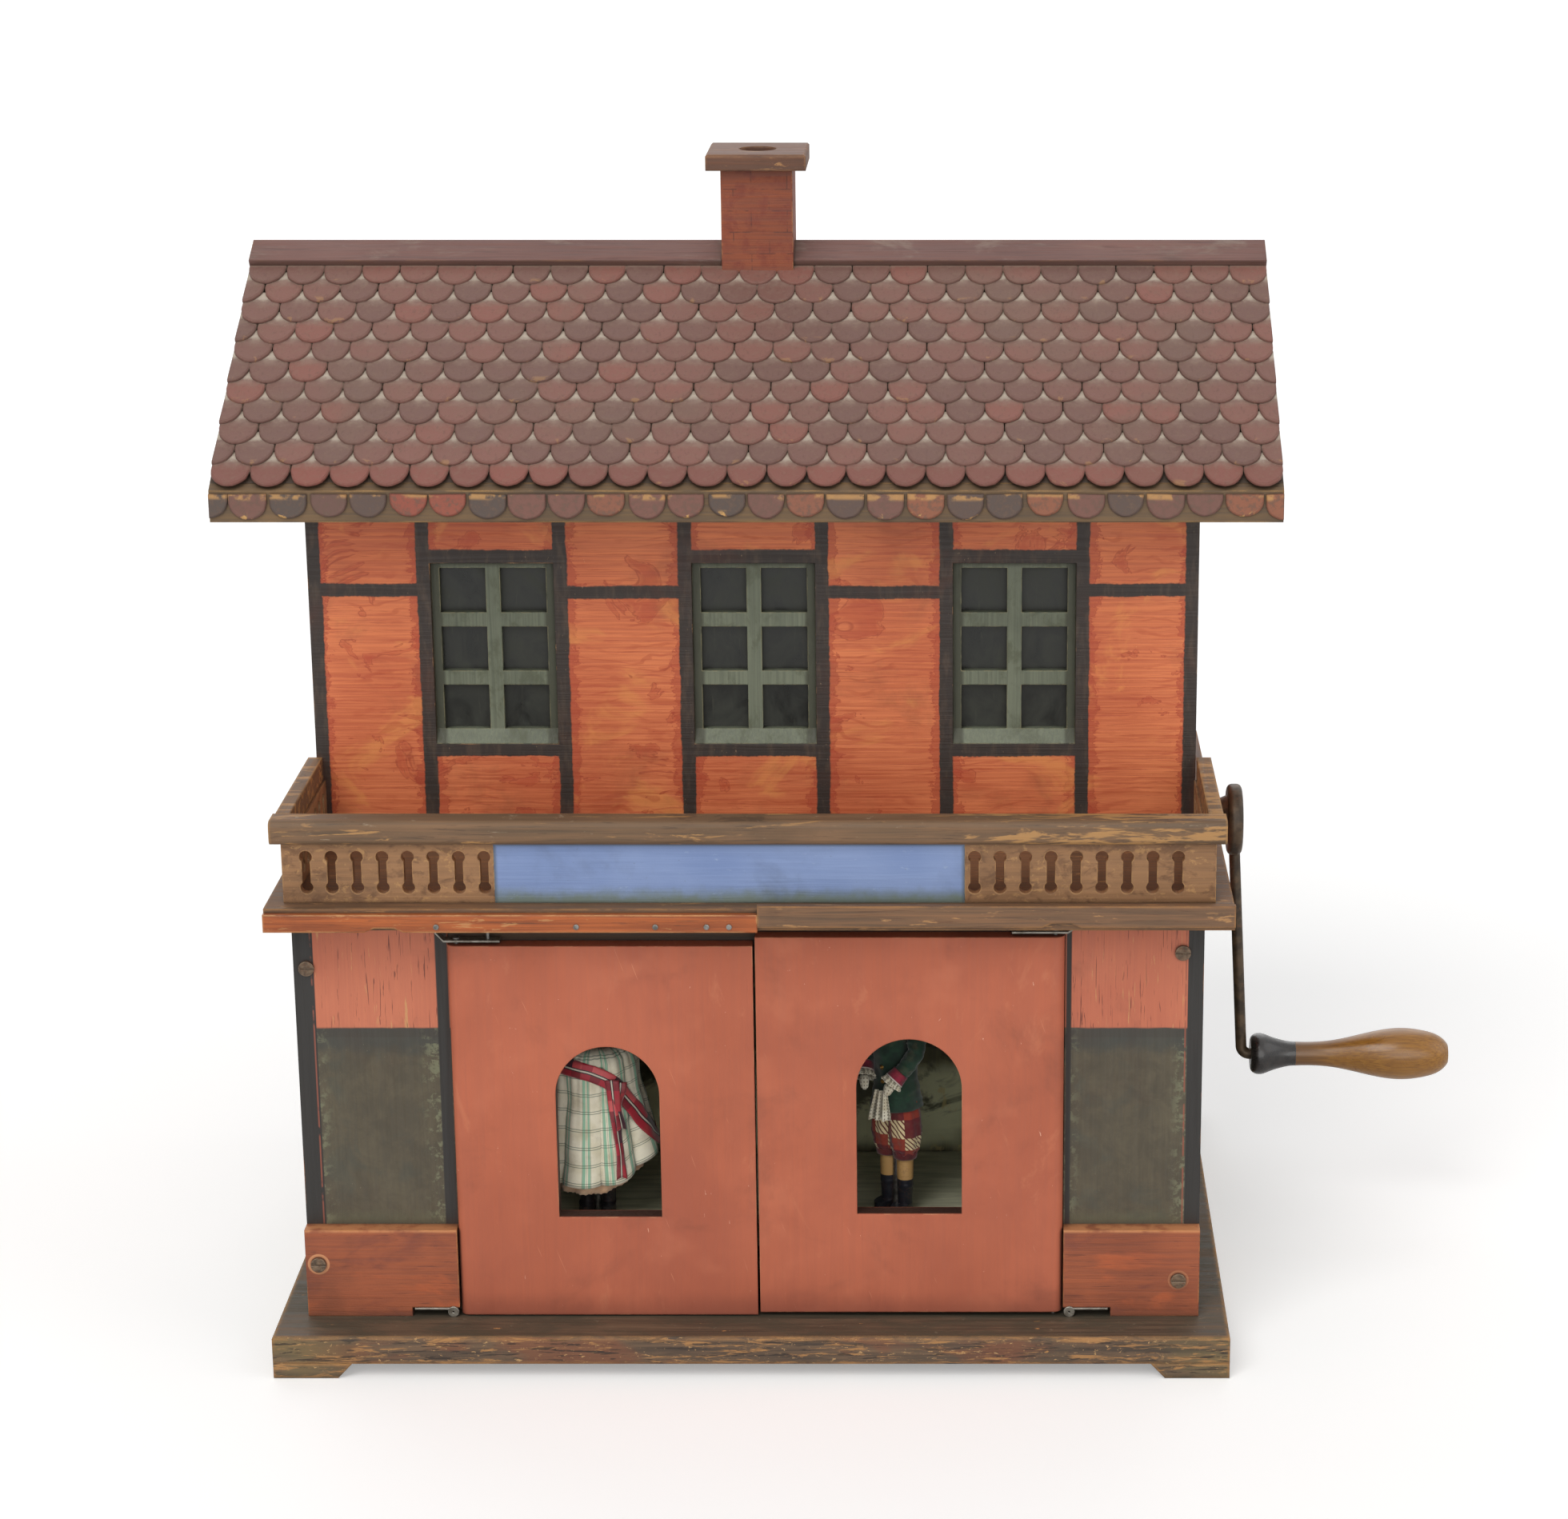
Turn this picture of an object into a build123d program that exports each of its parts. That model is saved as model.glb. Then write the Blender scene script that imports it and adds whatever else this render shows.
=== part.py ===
"""Hand-cranked wooden toy inn: two dancers turn behind arched doors when the crank is wound.

House coordinates are used throughout: X runs right from the middle of the house, Y runs back
from the front of the doors and Z runs up from the table. The plane helpers shift X and Y so that
the finished toy stands on the origin. All lengths are in millimetres and all angles in degrees.
"""
from build123d import *
from math import asin, cos, degrees, pi, radians, sin, tan
import os

# ---------------------------------------------------------------------------------------------
# Driving dimensions
# ---------------------------------------------------------------------------------------------

# Clearances
running_fit = 0.05
passing_gap = 0.3

# Base board on two battens
base_thick = 12.0
front_step = 21.0
back_step = 21.0
side_step = 12.0
base_bevel = 0.8
batten_width = 33.0
batten_height = 6.5
batten_slope = 6.0

# Lower storey
house_width = 375.0
lower_depth = 259.0
door_head_gap = 7.2
wall_thick = 8.0
post_thick = 8.0
left_post_width = 63.9
right_post_width = 57.2
plinth_thick = 7.0
plinth_height = 39.1
notch_width = 20.0
notch_height = 4.0
lintel_height = 18.0

# Doors
door_thick = 7.5
door_split = 2.5
door_gap = 1.0
jamb_gap = 0.35
stop_gap = 0.5
left_door_foot = 0.7
left_door_height = 164.2
right_door_foot = 1.9
right_door_height = 166.8
left_arch_x = -59.0
left_arch_width = 43.0
left_arch_sill = 44.4
left_arch_height = 75.9
right_arch_x = 65.9
right_arch_width = 43.7
right_arch_sill = 44.6
right_arch_height = 77.8

# Stage
stage_top = 31.5
stage_thick = 6.0
backdrop_y = 105.0
backdrop_thick = 4.0

# Deck of the balcony
deck_thick = 9.1
deck_front = 12.0
deck_left_over = 7.5
deck_right_over = 11.0
deck_opening_width = 300.0
trim_thick = 3.0
trim_joint_x = 5.0
left_trim_height = 7.5
right_trim_height = 9.2
right_trim_rise = 2.0
chip_width = 16.0
chip_depth = 1.8
left_chip_x = -146.0
right_chip_x = 128.0

# Balustrade
fret_height = 25.5
fret_thick = 4.0
fret_front = 4.0
fret_left_x = -188.0
fret_right_x = 191.0
sign_left_x = -102.0
sign_right_x = 89.0
slot_pitch = 10.33
slot_margin = 3.9
slot_end_margin = 8.0
slot_foot = 3.9
slot_length = 18.2
slot_width = 3.4
slot_end_width = 5.2
handrail_thick = 10.0
handrail_depth = 12.0
handrail_nose = 2.5
handrail_over = 4.0
side_rail_width = 6.0
side_rail_over = 3.0

# Upper storey
upper_height = 160.3
upper_setback = 85.0
window_width = 52.0
window_height = 79.0
window_sill = 41.5
window_pitch = 110.0
pane_size = 19.3
glazing_bar = 6.2
sash_foot = 6.0
sash_thick = 4.0
sash_recess = 3.0
pane_thick = 1.0

# Roof
roof_pitch = 32.0
roof_width = 438.0
roof_thick = 6.0
eave_overhang = 40.0
fascia_thick = 4.0
fascia_drop = 13.1
shingle_pitch = 16.2
shingle_exposure = 12.4
shingle_length = 19.0
shingle_thick = 1.3
scallop_depth = 5.5
fascia_shingle_foot = 1.4
fascia_shingle_height = 10.4
ridge_board_thick = 3.0

# Chimney
stack_size = 30.7
stack_rise = 36.5
cap_size = 42.7
cap_thick = 6.8
flue_radius = 8.0
flue_depth = 30.0

# Crank
axle_radius = 3.0
axle_y = 155.0
axle_drop = 4.9
axle_stub = 12.0
crank_radius = 112.0
arm_radius = 2.5
arm_bend = 4.0
arm_lean = 5.6
hub_radius = 16.0
hub_thick = 6.6
hub_gap = 8.0
hub_edge = 2.4
boss_gap = 0.8
boss_radius = 8.0
boss_root_radius = 11.0
grip_gap = 4.0
ferrule_length = 20.6
grip_length = 90.0
grip_end_wood = 7.0
grip_neck_radius = 5.5

# Distance along the grip and radius there, from the ferrule's flared mouth to the rounded end
ferrule_flare = ((0.0, 6.6), (1.2, 8.6), (3.6, 9.4), (9.0, 8.0), (14.5, 6.3))
grip_swell = ((28.0, 5.4), (37.0, 6.1), (53.0, 9.5), (68.0, 11.7), (79.0, 10.6), (87.0, 7.6), (90.0, 4.4))

# Pegged crown wheel and lantern pinion
crown_pegs = 18
crown_radius = 36.0
crown_rim = 3.5
crown_thick = 6.0
lantern_staves = 8
stave_radius = 2.0
peg_engagement = 4.0
peg_root = 6.0
lantern_rim = 3.0
lantern_disc = 4.0
lantern_half_height = 6.5

# Drop spindle, pulleys and belt
spindle_radius = 3.0
drive_groove_radius = 9.0
dancer_groove_radius = 18.0
groove_depth = 2.0
pulley_thick = 8.0
pulley_flange = 1.0
pulley_z = 30.0
belt_width = 5.0
belt_thick = 0.8
bearing_depth = 5.0

# Shelf and blocks that carry the mechanism
shelf_gap = 2.0
shelf_thick = 6.0
shelf_left_x = -140.0
shelf_right_x = 10.0
block_thick = 8.0
block_width = 28.0
block_crown = 7.5
block_left_x = -132.0

# Pinned barrel and steel comb
barrel_radius = 12.0
barrel_left_x = -115.0
pin_radius = 0.6
pin_height = 1.5
comb_teeth = 20
tooth_pitch = 4.0
tooth_slit = 1.0
tooth_length = 14.0
comb_depth = 26.0
comb_thick = 1.2
comb_seat = 10.0

# Dancers
left_dancer_x = -68.0
right_dancer_x = 60.0
dancer_y = 38.0
dancer_spindle_radius = 1.6
left_spindle_top_z = 115.0
right_spindle_top_z = 88.0
right_dancer_turn = -38.0
sole_gap = 2.2
sole_height = 3.4
sole_half_width = 3.3
sole_half_length = 6.2
heel_offset = 2.5
foot_spread = 4.6
thigh_spread = 2.6
boot_top_z = 64.0
breeches_z = 78.0
knee_z = 76.0
seat_z = 88.0
hip_z = 106.0
shoulder_z = 143.0
collar_rise = 3.0
armpit_drop = 7.0
arm_drop = 4.0
head_z = 161.0
head_radius = 8.2
nose_radius = 1.1

# Radius of the face and height over the middle of the head, from the chin to the forehead
face_shape = ((1.5, -9.4), (5.6, -6.0), (7.2, -0.5), (6.4, 5.0), (1.5, 8.6))
# Each station of an arm is (outward, forward, drop under the shoulder, radius)
bare_arm = ((8.0, 0.0, 4.0, 3.1), (14.0, 1.0, 15.0, 2.5), (11.5, 9.0, 20.0, 1.9))
jacket_arm = ((9.5, 0.0, 4.0, 3.6), (13.5, 3.0, 17.0, 3.2), (8.0, 11.0, 27.0, 2.6))
skirt_folds = 9
skirt_hem_crest = 23.0
skirt_hem_valley = 18.6
skirt_knee_crest = 17.8
skirt_knee_valley = 14.6
skirt_waist_crest = 9.2
skirt_waist_valley = 7.8
skirt_hem_z = 62.0
skirt_knee_z = 95.0
skirt_waist_z = 127.0
skirt_wall = 1.6
waist_band = 6.0
waist_radius = 5.6
ribbon_thick = 0.8
ribbon_width = 10.0
ribbon_tilt = 36.0
ribbon_z = 100.0

# Fasteners
nail_radius = 0.8
strap_thick = 0.8
strap_width = 5.0
strap_reach = 18.0
strap_gap = 1.2
strap_eye_radius = 2.3
screw_head_radius = 3.2
screw_head_height = 1.4
screw_slot = 0.8
screw_radius = 1.5
screw_length = 8.0
left_screw_inset = 5.4
right_screw_inset = 8.8
left_post_screw_drop = 22.9
right_post_screw_drop = 16.1
left_plinth_screw_rise = 23.7
right_plinth_screw_rise = 16.5
trim_nail_places = (-124.8, -68.2, -36.2, -15.5, -6.4)
trim_nail_head = 1.1
trim_nail_radius = 0.6
trim_nail_length = 7.0

# ---------------------------------------------------------------------------------------------
# Places worked out from them
# ---------------------------------------------------------------------------------------------

half_width = house_width / 2
base_top = batten_height + base_thick
storey_height = max(left_door_foot + left_door_height, right_door_foot + right_door_height) + door_head_gap
base_width = house_width + 2 * side_step
base_depth = front_step + lower_depth + back_step
deck_bottom = base_top + storey_height
deck_top = deck_bottom + deck_thick
post_back = plinth_thick + post_thick
back_panel_y = lower_depth - wall_thick
left_jamb_x = left_post_width - half_width
right_jamb_x = half_width - right_post_width
deck_left_x = -half_width - deck_left_over
deck_right_x = half_width + deck_right_over
upper_wall_back = upper_setback + wall_thick
rail_bottom = deck_top + fret_height

pivot_inset = jamb_gap + door_thick / 2
pivot_y = door_thick / 2
left_pivot_x = left_jamb_x + pivot_inset
right_pivot_x = right_jamb_x - pivot_inset

eave_z = deck_top + upper_height
roof_half_span = (lower_depth - upper_setback) / 2 + eave_overhang
ridge_y = upper_setback - eave_overhang + roof_half_span
slope = tan(radians(roof_pitch))
ridge_top_z = eave_z + roof_half_span * slope
board_drop = roof_thick / cos(radians(roof_pitch))
stack_top_z = ridge_top_z + stack_rise
slope_length = roof_half_span / cos(radians(roof_pitch))
shingle_tilt = degrees(asin(shingle_thick / shingle_exposure))
shingle_rows = int(slope_length / shingle_exposure) - 1
shingle_lift = shingle_length * sin(radians(shingle_tilt))
shingle_reach = (shingle_lift + shingle_thick) * sin(radians(roof_pitch))
tongue_count = round(roof_width / shingle_pitch)

axle_z = deck_bottom - axle_drop
hub_x = deck_right_x + hub_gap
hub_middle_x = hub_x + hub_thick / 2
crank_pin_x = hub_middle_x + arm_lean
crank_pin_z = axle_z - crank_radius
grip_x = crank_pin_x + grip_gap
grip_end_x = grip_x + grip_length
arm_end_x = grip_end_x - grip_end_wood
axle_left_x = block_left_x - axle_stub

lantern_radius = crown_radius * lantern_staves / crown_pegs
peg_tip_x = lantern_radius - peg_engagement
crown_x = peg_tip_x + peg_engagement + peg_root
lantern_middle_z = axle_z - crown_radius
lantern_bottom = lantern_middle_z - lantern_half_height - lantern_disc
lantern_top = lantern_middle_z + lantern_half_height + lantern_disc
shelf_z = lantern_top + shelf_gap
shelf_top = shelf_z + shelf_thick
belt_z = pulley_z + pulley_thick / 2
stage_floor_z = base_top + stage_top
sole_z = stage_floor_z + sole_gap
comb_x = barrel_left_x + tooth_pitch
comb_width = comb_teeth * tooth_pitch
barrel_length = comb_width + 2 * tooth_pitch
comb_front = axle_y + barrel_radius + pin_height + passing_gap

house_x = (roof_width / 2 - grip_end_x) / 2
house_y = (front_step - lower_depth - eave_overhang - shingle_reach) / 2


# ---------------------------------------------------------------------------------------------
# Planes and plain shapes in house coordinates
# ---------------------------------------------------------------------------------------------

def facing(x, y, z):
    """Plane that faces the front; its own X is the house's X and its own Y is up."""
    return Plane(origin=(house_x + x, house_y + y, z), x_dir=(1, 0, 0), z_dir=(0, -1, 0))


def sideways(x, y, z):
    """Plane that faces right; its own X is the house's Y and its own Y is up."""
    return Plane(origin=(house_x + x, house_y + y, z), x_dir=(0, 1, 0), z_dir=(1, 0, 0))


def level(x, y, z):
    """Plane that faces up; its own X and Y are the house's."""
    return Plane(origin=(house_x + x, house_y + y, z))


def board(x, y, z, mode=Mode.ADD):
    """Add or cut a board from its (low, high) limits along each axis."""
    with BuildSketch(level((x[0] + x[1]) / 2, (y[0] + y[1]) / 2, z[0])) as outline:
        Rectangle(x[1] - x[0], y[1] - y[0])
    extrude(outline.sketch, amount=z[1] - z[0], mode=mode)


def post(x, y, z, radius, mode=Mode.ADD):
    """Add or cut an upright round bar between two heights."""
    with BuildSketch(level(x, y, z[0])) as outline:
        Circle(radius)
    extrude(outline.sketch, amount=z[1] - z[0], mode=mode)


def bar(x, y, z, radius, mode=Mode.ADD):
    """Add or cut a round bar along X between two places."""
    with BuildSketch(sideways(x[0], y, z)) as outline:
        Circle(radius)
    extrude(outline.sketch, amount=x[1] - x[0], mode=mode)


def peg(x, y, z, radius, mode=Mode.ADD):
    """Add or cut a round bar along Y between two places."""
    with BuildSketch(facing(x, y[0], z)) as outline:
        Circle(radius)
    extrude(outline.sketch, amount=y[0] - y[1], mode=mode)


def under_roof(y):
    """Height of the underside of the roof boards at a place from front to back."""
    run = roof_half_span - abs(y - ridge_y)
    return eave_z + run * slope - board_drop


# ---------------------------------------------------------------------------------------------
# Base
# ---------------------------------------------------------------------------------------------

with BuildPart() as base_board:
    board((-base_width / 2, base_width / 2), (-front_step, base_depth - front_step), (batten_height, base_top))
    chamfer(base_board.faces().sort_by(Axis.Z)[-1].edges(), base_bevel)
    for dancer_x in (left_dancer_x, right_dancer_x):
        post(dancer_x, dancer_y, (base_top - bearing_depth, base_top),
             dancer_spindle_radius + running_fit, Mode.SUBTRACT)
    post(0, axle_y, (base_top - bearing_depth, base_top), spindle_radius + running_fit, Mode.SUBTRACT)
    for pivot_x in (left_pivot_x, right_pivot_x):
        post(pivot_x, pivot_y, (base_top - door_thick, base_top), nail_radius, Mode.SUBTRACT)

with BuildPart() as foot_battens:
    with BuildSketch(facing(0, -front_step, 0)):
        for side in (-1, 1):
            outer = side * base_width / 2
            inner = outer - side * batten_width
            with BuildLine():
                Polyline(
                    (outer, 0),
                    (inner + side * batten_slope, 0),
                    (inner, batten_height),
                    (outer, batten_height),
                    close=True,
                )
            make_face()
    extrude(amount=-base_depth)

# ---------------------------------------------------------------------------------------------
# Lower storey
# ---------------------------------------------------------------------------------------------


def side_wall(side, has_axle_hole):
    """Side board of the lower storey, between the front posts and the back panel."""
    outer = side * half_width
    inner = outer - side * wall_thick
    with BuildPart() as wall:
        board(sorted((inner, outer)), (post_back, back_panel_y), (base_top, deck_bottom))
        if has_axle_hole:
            bar((inner, outer), axle_y, axle_z, axle_radius + running_fit, Mode.SUBTRACT)
    return wall


side_wall_left = side_wall(-1, False)
side_wall_right = side_wall(1, True)


def front_post(outer_x, jamb_x, screw_x, screw_z):
    """Front board beside a door, drilled for its screw."""
    with BuildPart() as front:
        board(sorted((outer_x, jamb_x)), (plinth_thick, post_back), (base_top, deck_bottom))
        peg(screw_x, (plinth_thick, plinth_thick + screw_length), screw_z, screw_radius, Mode.SUBTRACT)
    return front


left_screw_x = left_screw_inset - half_width
right_screw_x = half_width - right_screw_inset
left_post_screw_z = deck_bottom - left_post_screw_drop
right_post_screw_z = deck_bottom - right_post_screw_drop
left_plinth_screw_z = base_top + left_plinth_screw_rise
right_plinth_screw_z = base_top + right_plinth_screw_rise

pilaster_left = front_post(-half_width, left_jamb_x, left_screw_x, left_post_screw_z)
pilaster_right = front_post(half_width, right_jamb_x, right_screw_x, right_post_screw_z)


def plinth(outer_x, jamb_x, screw_x, screw_z):
    """Low board in front of a post, notched at its foot for the door's lower hinge."""
    side = 1 if outer_x > 0 else -1
    with BuildPart() as low_board:
        board(sorted((outer_x, jamb_x)), (0, plinth_thick), (base_top, base_top + plinth_height))
        board(sorted((jamb_x, jamb_x + side * notch_width)), (0, plinth_thick),
              (base_top, base_top + notch_height), Mode.SUBTRACT)
        peg(screw_x, (0, plinth_thick), screw_z, screw_radius, Mode.SUBTRACT)
    return low_board


plinth_left = plinth(-half_width, left_jamb_x, left_screw_x, left_plinth_screw_z)
plinth_right = plinth(half_width, right_jamb_x, right_screw_x, right_plinth_screw_z)

with BuildPart() as lintel:
    board((left_jamb_x, right_jamb_x), (door_thick + stop_gap, post_back),
          (deck_bottom - lintel_height, deck_bottom))

with BuildPart() as back_panel:
    board((-half_width, half_width), (back_panel_y, lower_depth), (base_top, deck_top))
    with BuildSketch(sideways(-half_width, 0, 0)):
        with BuildLine():
            Polyline(
                (back_panel_y, deck_top),
                (lower_depth, deck_top),
                (lower_depth, under_roof(lower_depth)),
                (back_panel_y, under_roof(back_panel_y)),
                close=True,
            )
        make_face()
    extrude(amount=house_width)

# ---------------------------------------------------------------------------------------------
# Doors
# ---------------------------------------------------------------------------------------------


def arched_door(pivot_x, meeting_x, foot, height, arch_x, arch_width, arch_sill, arch_height):
    """Door with a rounded heel around its pivot nails and an arched opening."""
    bottom = base_top + foot
    spring = arch_height - arch_width / 2
    with BuildPart() as door:
        with BuildSketch(level(0, pivot_y, bottom)):
            with Locations(((pivot_x + meeting_x) / 2, 0)):
                Rectangle(abs(meeting_x - pivot_x), door_thick)
            with Locations((pivot_x, 0)):
                Circle(door_thick / 2)
        extrude(amount=height)
        with BuildSketch(facing(arch_x, 0, bottom + arch_sill)):
            Rectangle(arch_width, spring, align=(Align.CENTER, Align.MIN))
            with Locations((0, spring)):
                Circle(arch_width / 2)
        extrude(amount=-door_thick, mode=Mode.SUBTRACT)
        for nail_z in ((bottom, bottom + door_thick), (bottom + height - door_thick, bottom + height)):
            post(pivot_x, pivot_y, nail_z, nail_radius + running_fit, Mode.SUBTRACT)
    return door


door_left = arched_door(
    left_pivot_x, door_split - door_gap / 2, left_door_foot, left_door_height,
    left_arch_x, left_arch_width, left_arch_sill, left_arch_height,
)
door_right = arched_door(
    right_pivot_x, door_split + door_gap / 2, right_door_foot, right_door_height,
    right_arch_x, right_arch_width, right_arch_sill, right_arch_height,
)

# ---------------------------------------------------------------------------------------------
# Stage
# ---------------------------------------------------------------------------------------------

with BuildPart() as stage_floor:
    board((wall_thick - half_width, half_width - wall_thick), (post_back, backdrop_y + backdrop_thick),
          (stage_floor_z - stage_thick, stage_floor_z))
    for dancer_x in (left_dancer_x, right_dancer_x):
        post(dancer_x, dancer_y, (stage_floor_z - stage_thick, stage_floor_z),
             dancer_spindle_radius + running_fit, Mode.SUBTRACT)

with BuildPart() as stage_backdrop:
    board((wall_thick - half_width, half_width - wall_thick), (backdrop_y, backdrop_y + backdrop_thick),
          (stage_floor_z, deck_bottom))

# ---------------------------------------------------------------------------------------------
# Deck and its trim
# ---------------------------------------------------------------------------------------------

hanger_inset = strap_reach - strap_width
hanger_depth = deck_thick / 2

with BuildPart() as deck_board:
    board((deck_left_x, deck_right_x), (-deck_front, upper_wall_back), (deck_bottom, deck_top))
    for pivot_x, inward in ((left_pivot_x, 1), (right_pivot_x, -1)):
        post(pivot_x + inward * hanger_inset, pivot_y, (deck_bottom, deck_bottom + hanger_depth),
             nail_radius, Mode.SUBTRACT)
    for nail_x in trim_nail_places:
        peg(nail_x, (-deck_front, trim_nail_length - deck_front - trim_thick),
            deck_bottom + left_trim_height / 3, trim_nail_radius, Mode.SUBTRACT)

with BuildPart() as deck_side_boards:
    board((deck_left_x, -deck_opening_width / 2), (upper_wall_back, back_panel_y), (deck_bottom, deck_top))
    board((deck_opening_width / 2, deck_right_x), (upper_wall_back, back_panel_y), (deck_bottom, deck_top))


def deck_trim(x, z, chip_x):
    """Thin strip along the front of the deck, chipped along its lower edge above a hinge."""
    with BuildPart() as strip:
        with BuildSketch(facing(0, -deck_front - trim_thick, 0)):
            with BuildLine():
                Polyline(
                    (x[0], z[0]),
                    (chip_x - chip_width / 2, z[0]),
                    (chip_x - chip_width / 4, z[0] + chip_depth),
                    (chip_x + chip_width / 4, z[0] + chip_depth),
                    (chip_x + chip_width / 2, z[0]),
                    (x[1], z[0]),
                    (x[1], z[1]),
                    (x[0], z[1]),
                    close=True,
                )
            make_face()
        extrude(amount=-trim_thick)
    return strip


deck_strip_left = deck_trim((deck_left_x, trim_joint_x), (deck_bottom, deck_bottom + left_trim_height),
                            left_chip_x)
with deck_strip_left:
    for nail_x in trim_nail_places:
        peg(nail_x, (-deck_front - trim_thick, -deck_front), deck_bottom + left_trim_height / 3,
            trim_nail_radius, Mode.SUBTRACT)
right_trim_z = deck_bottom + right_trim_rise
deck_strip_right = deck_trim((trim_joint_x, deck_right_x), (right_trim_z, right_trim_z + right_trim_height),
                             right_chip_x)

# ---------------------------------------------------------------------------------------------
# Balustrade
# ---------------------------------------------------------------------------------------------


def fretwork(plane, length):
    """Thin panel pierced by a row of dumbbell slots; it starts at the plane's origin."""
    count = int((length - slot_margin - slot_end_margin) / slot_pitch) + 1
    end_spread = slot_length - slot_end_width
    with BuildPart() as panel:
        with BuildSketch(plane):
            Rectangle(length, fret_height, align=Align.MIN)
            for index in range(count):
                slot_x = slot_margin + index * slot_pitch
                with Locations((slot_x, slot_foot + slot_length / 2)):
                    Rectangle(slot_width, end_spread, mode=Mode.SUBTRACT)
                with Locations((slot_x, slot_foot + slot_end_width / 2),
                               (slot_x, slot_foot + slot_length - slot_end_width / 2)):
                    Circle(slot_end_width / 2, mode=Mode.SUBTRACT)
        extrude(amount=fret_thick)
    return panel


from_sign_to_left = Plane(origin=(house_x + sign_left_x, house_y - fret_front, deck_top),
                          x_dir=(-1, 0, 0), z_dir=(0, 1, 0))
fretwork_front_left = fretwork(from_sign_to_left, sign_left_x - fret_left_x)
fretwork_front_right = fretwork(facing(sign_right_x, -fret_front + fret_thick, deck_top),
                                fret_right_x - sign_right_x)
side_fret_y = fret_thick - fret_front
side_fret_length = upper_setback - side_fret_y
with BuildPart() as fretwork_sides:
    for side_x in (fret_left_x, fret_right_x - fret_thick):
        add(fretwork(sideways(side_x, side_fret_y, deck_top), side_fret_length).part)

with BuildPart() as sign_board:
    board((sign_left_x, sign_right_x), (-fret_front, fret_thick - fret_front), (deck_top, rail_bottom))

rail_front_y = -fret_front + fret_thick / 2 - handrail_depth / 2
rail_z = (rail_bottom, rail_bottom + handrail_thick)
with BuildPart() as handrail_front:
    board((fret_left_x - handrail_over, fret_right_x + handrail_over),
          (rail_front_y, rail_front_y + handrail_depth), rail_z)
    fillet(handrail_front.edges().filter_by(Axis.X).group_by(Axis.Y)[0], handrail_nose)

with BuildPart() as handrail_sides:
    for outer_x, inward in ((fret_left_x - side_rail_over, 1), (fret_right_x + side_rail_over, -1)):
        board(sorted((outer_x, outer_x + inward * side_rail_width)),
              (rail_front_y + handrail_depth, upper_setback), rail_z)

# ---------------------------------------------------------------------------------------------
# Upper storey
# ---------------------------------------------------------------------------------------------

window_places = (-window_pitch, 0, window_pitch)
window_bottom = deck_top + window_sill

with BuildPart() as upper_front:
    with BuildSketch(sideways(-half_width, 0, 0)):
        with BuildLine():
            Polyline(
                (upper_setback, deck_top),
                (upper_wall_back, deck_top),
                (upper_wall_back, under_roof(upper_wall_back)),
                (upper_setback, under_roof(upper_setback)),
                close=True,
            )
        make_face()
    extrude(amount=house_width)
    with BuildSketch(facing(0, upper_setback, window_bottom + window_height / 2)):
        with Locations(*[(place, 0) for place in window_places]):
            Rectangle(window_width, window_height)
    extrude(amount=-wall_thick, mode=Mode.SUBTRACT)


def gable(inner_x):
    """Pointed side wall of the upper storey, standing on the deck."""
    with BuildPart() as wall:
        with BuildSketch(sideways(inner_x, 0, 0)):
            with BuildLine():
                Polyline(
                    (upper_wall_back, deck_top),
                    (back_panel_y, deck_top),
                    (back_panel_y, under_roof(back_panel_y)),
                    (ridge_y, under_roof(ridge_y)),
                    (upper_wall_back, under_roof(upper_wall_back)),
                    close=True,
                )
            make_face()
        extrude(amount=wall_thick)
    return wall


gable_left = gable(-half_width)
gable_right = gable(half_width - wall_thick)

sash_y = upper_setback + sash_recess
pane_pitch = pane_size + glazing_bar
first_row = sash_foot + pane_size / 2
with BuildPart() as window_sashes:
    for place in window_places:
        with BuildSketch(facing(place, sash_y, window_bottom)):
            Rectangle(window_width, window_height, align=(Align.CENTER, Align.MIN))
            for row in range(3):
                for column in (-pane_pitch / 2, pane_pitch / 2):
                    with Locations((column, first_row + row * pane_pitch)):
                        Rectangle(pane_size, pane_size, mode=Mode.SUBTRACT)
        extrude(amount=-sash_thick)
        with BuildSketch(sideways(place - window_width / 2, 0, window_bottom)):
            with BuildLine():
                Polyline((upper_setback, 0), (sash_y, 0), (sash_y, sash_foot), close=True)
            make_face()
        extrude(amount=window_width)

with BuildPart() as window_panes:
    for place in window_places:
        board((place - window_width / 2, place + window_width / 2),
              (sash_y + sash_thick, sash_y + sash_thick + pane_thick),
              (window_bottom, window_bottom + window_height))

# ---------------------------------------------------------------------------------------------
# Roof. On a slope, "up" is the way along the roof board from the eave and "out" is the height
# over its top face. The front slope has side -1 and the back slope has side 1.
# ---------------------------------------------------------------------------------------------


def roof_point(side, up, out):
    """Place (Y, Z) of a point given along a slope and over its board."""
    run = up * cos(radians(roof_pitch)) - out * sin(radians(roof_pitch))
    rise = up * sin(radians(roof_pitch)) + out * cos(radians(roof_pitch))
    return ridge_y + side * (roof_half_span - run), eave_z + rise


def chimney_hole():
    """Cut the chimney's footprint."""
    board((-stack_size / 2, stack_size / 2), (ridge_y - stack_size / 2, ridge_y + stack_size / 2),
          (eave_z, stack_top_z), Mode.SUBTRACT)


def roof_board(side):
    """Sloping board from the fascia to the ridge."""
    eave_y = ridge_y + side * (roof_half_span - fascia_thick)
    top = eave_z + fascia_thick * slope
    with BuildPart() as slope_board:
        with BuildSketch(sideways(-roof_width / 2, 0, 0)):
            with BuildLine():
                Polyline(
                    (eave_y, top),
                    (ridge_y, ridge_top_z),
                    (ridge_y, ridge_top_z - board_drop),
                    (eave_y, top - board_drop),
                    close=True,
                )
            make_face()
        extrude(amount=roof_width)
    return slope_board


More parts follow.
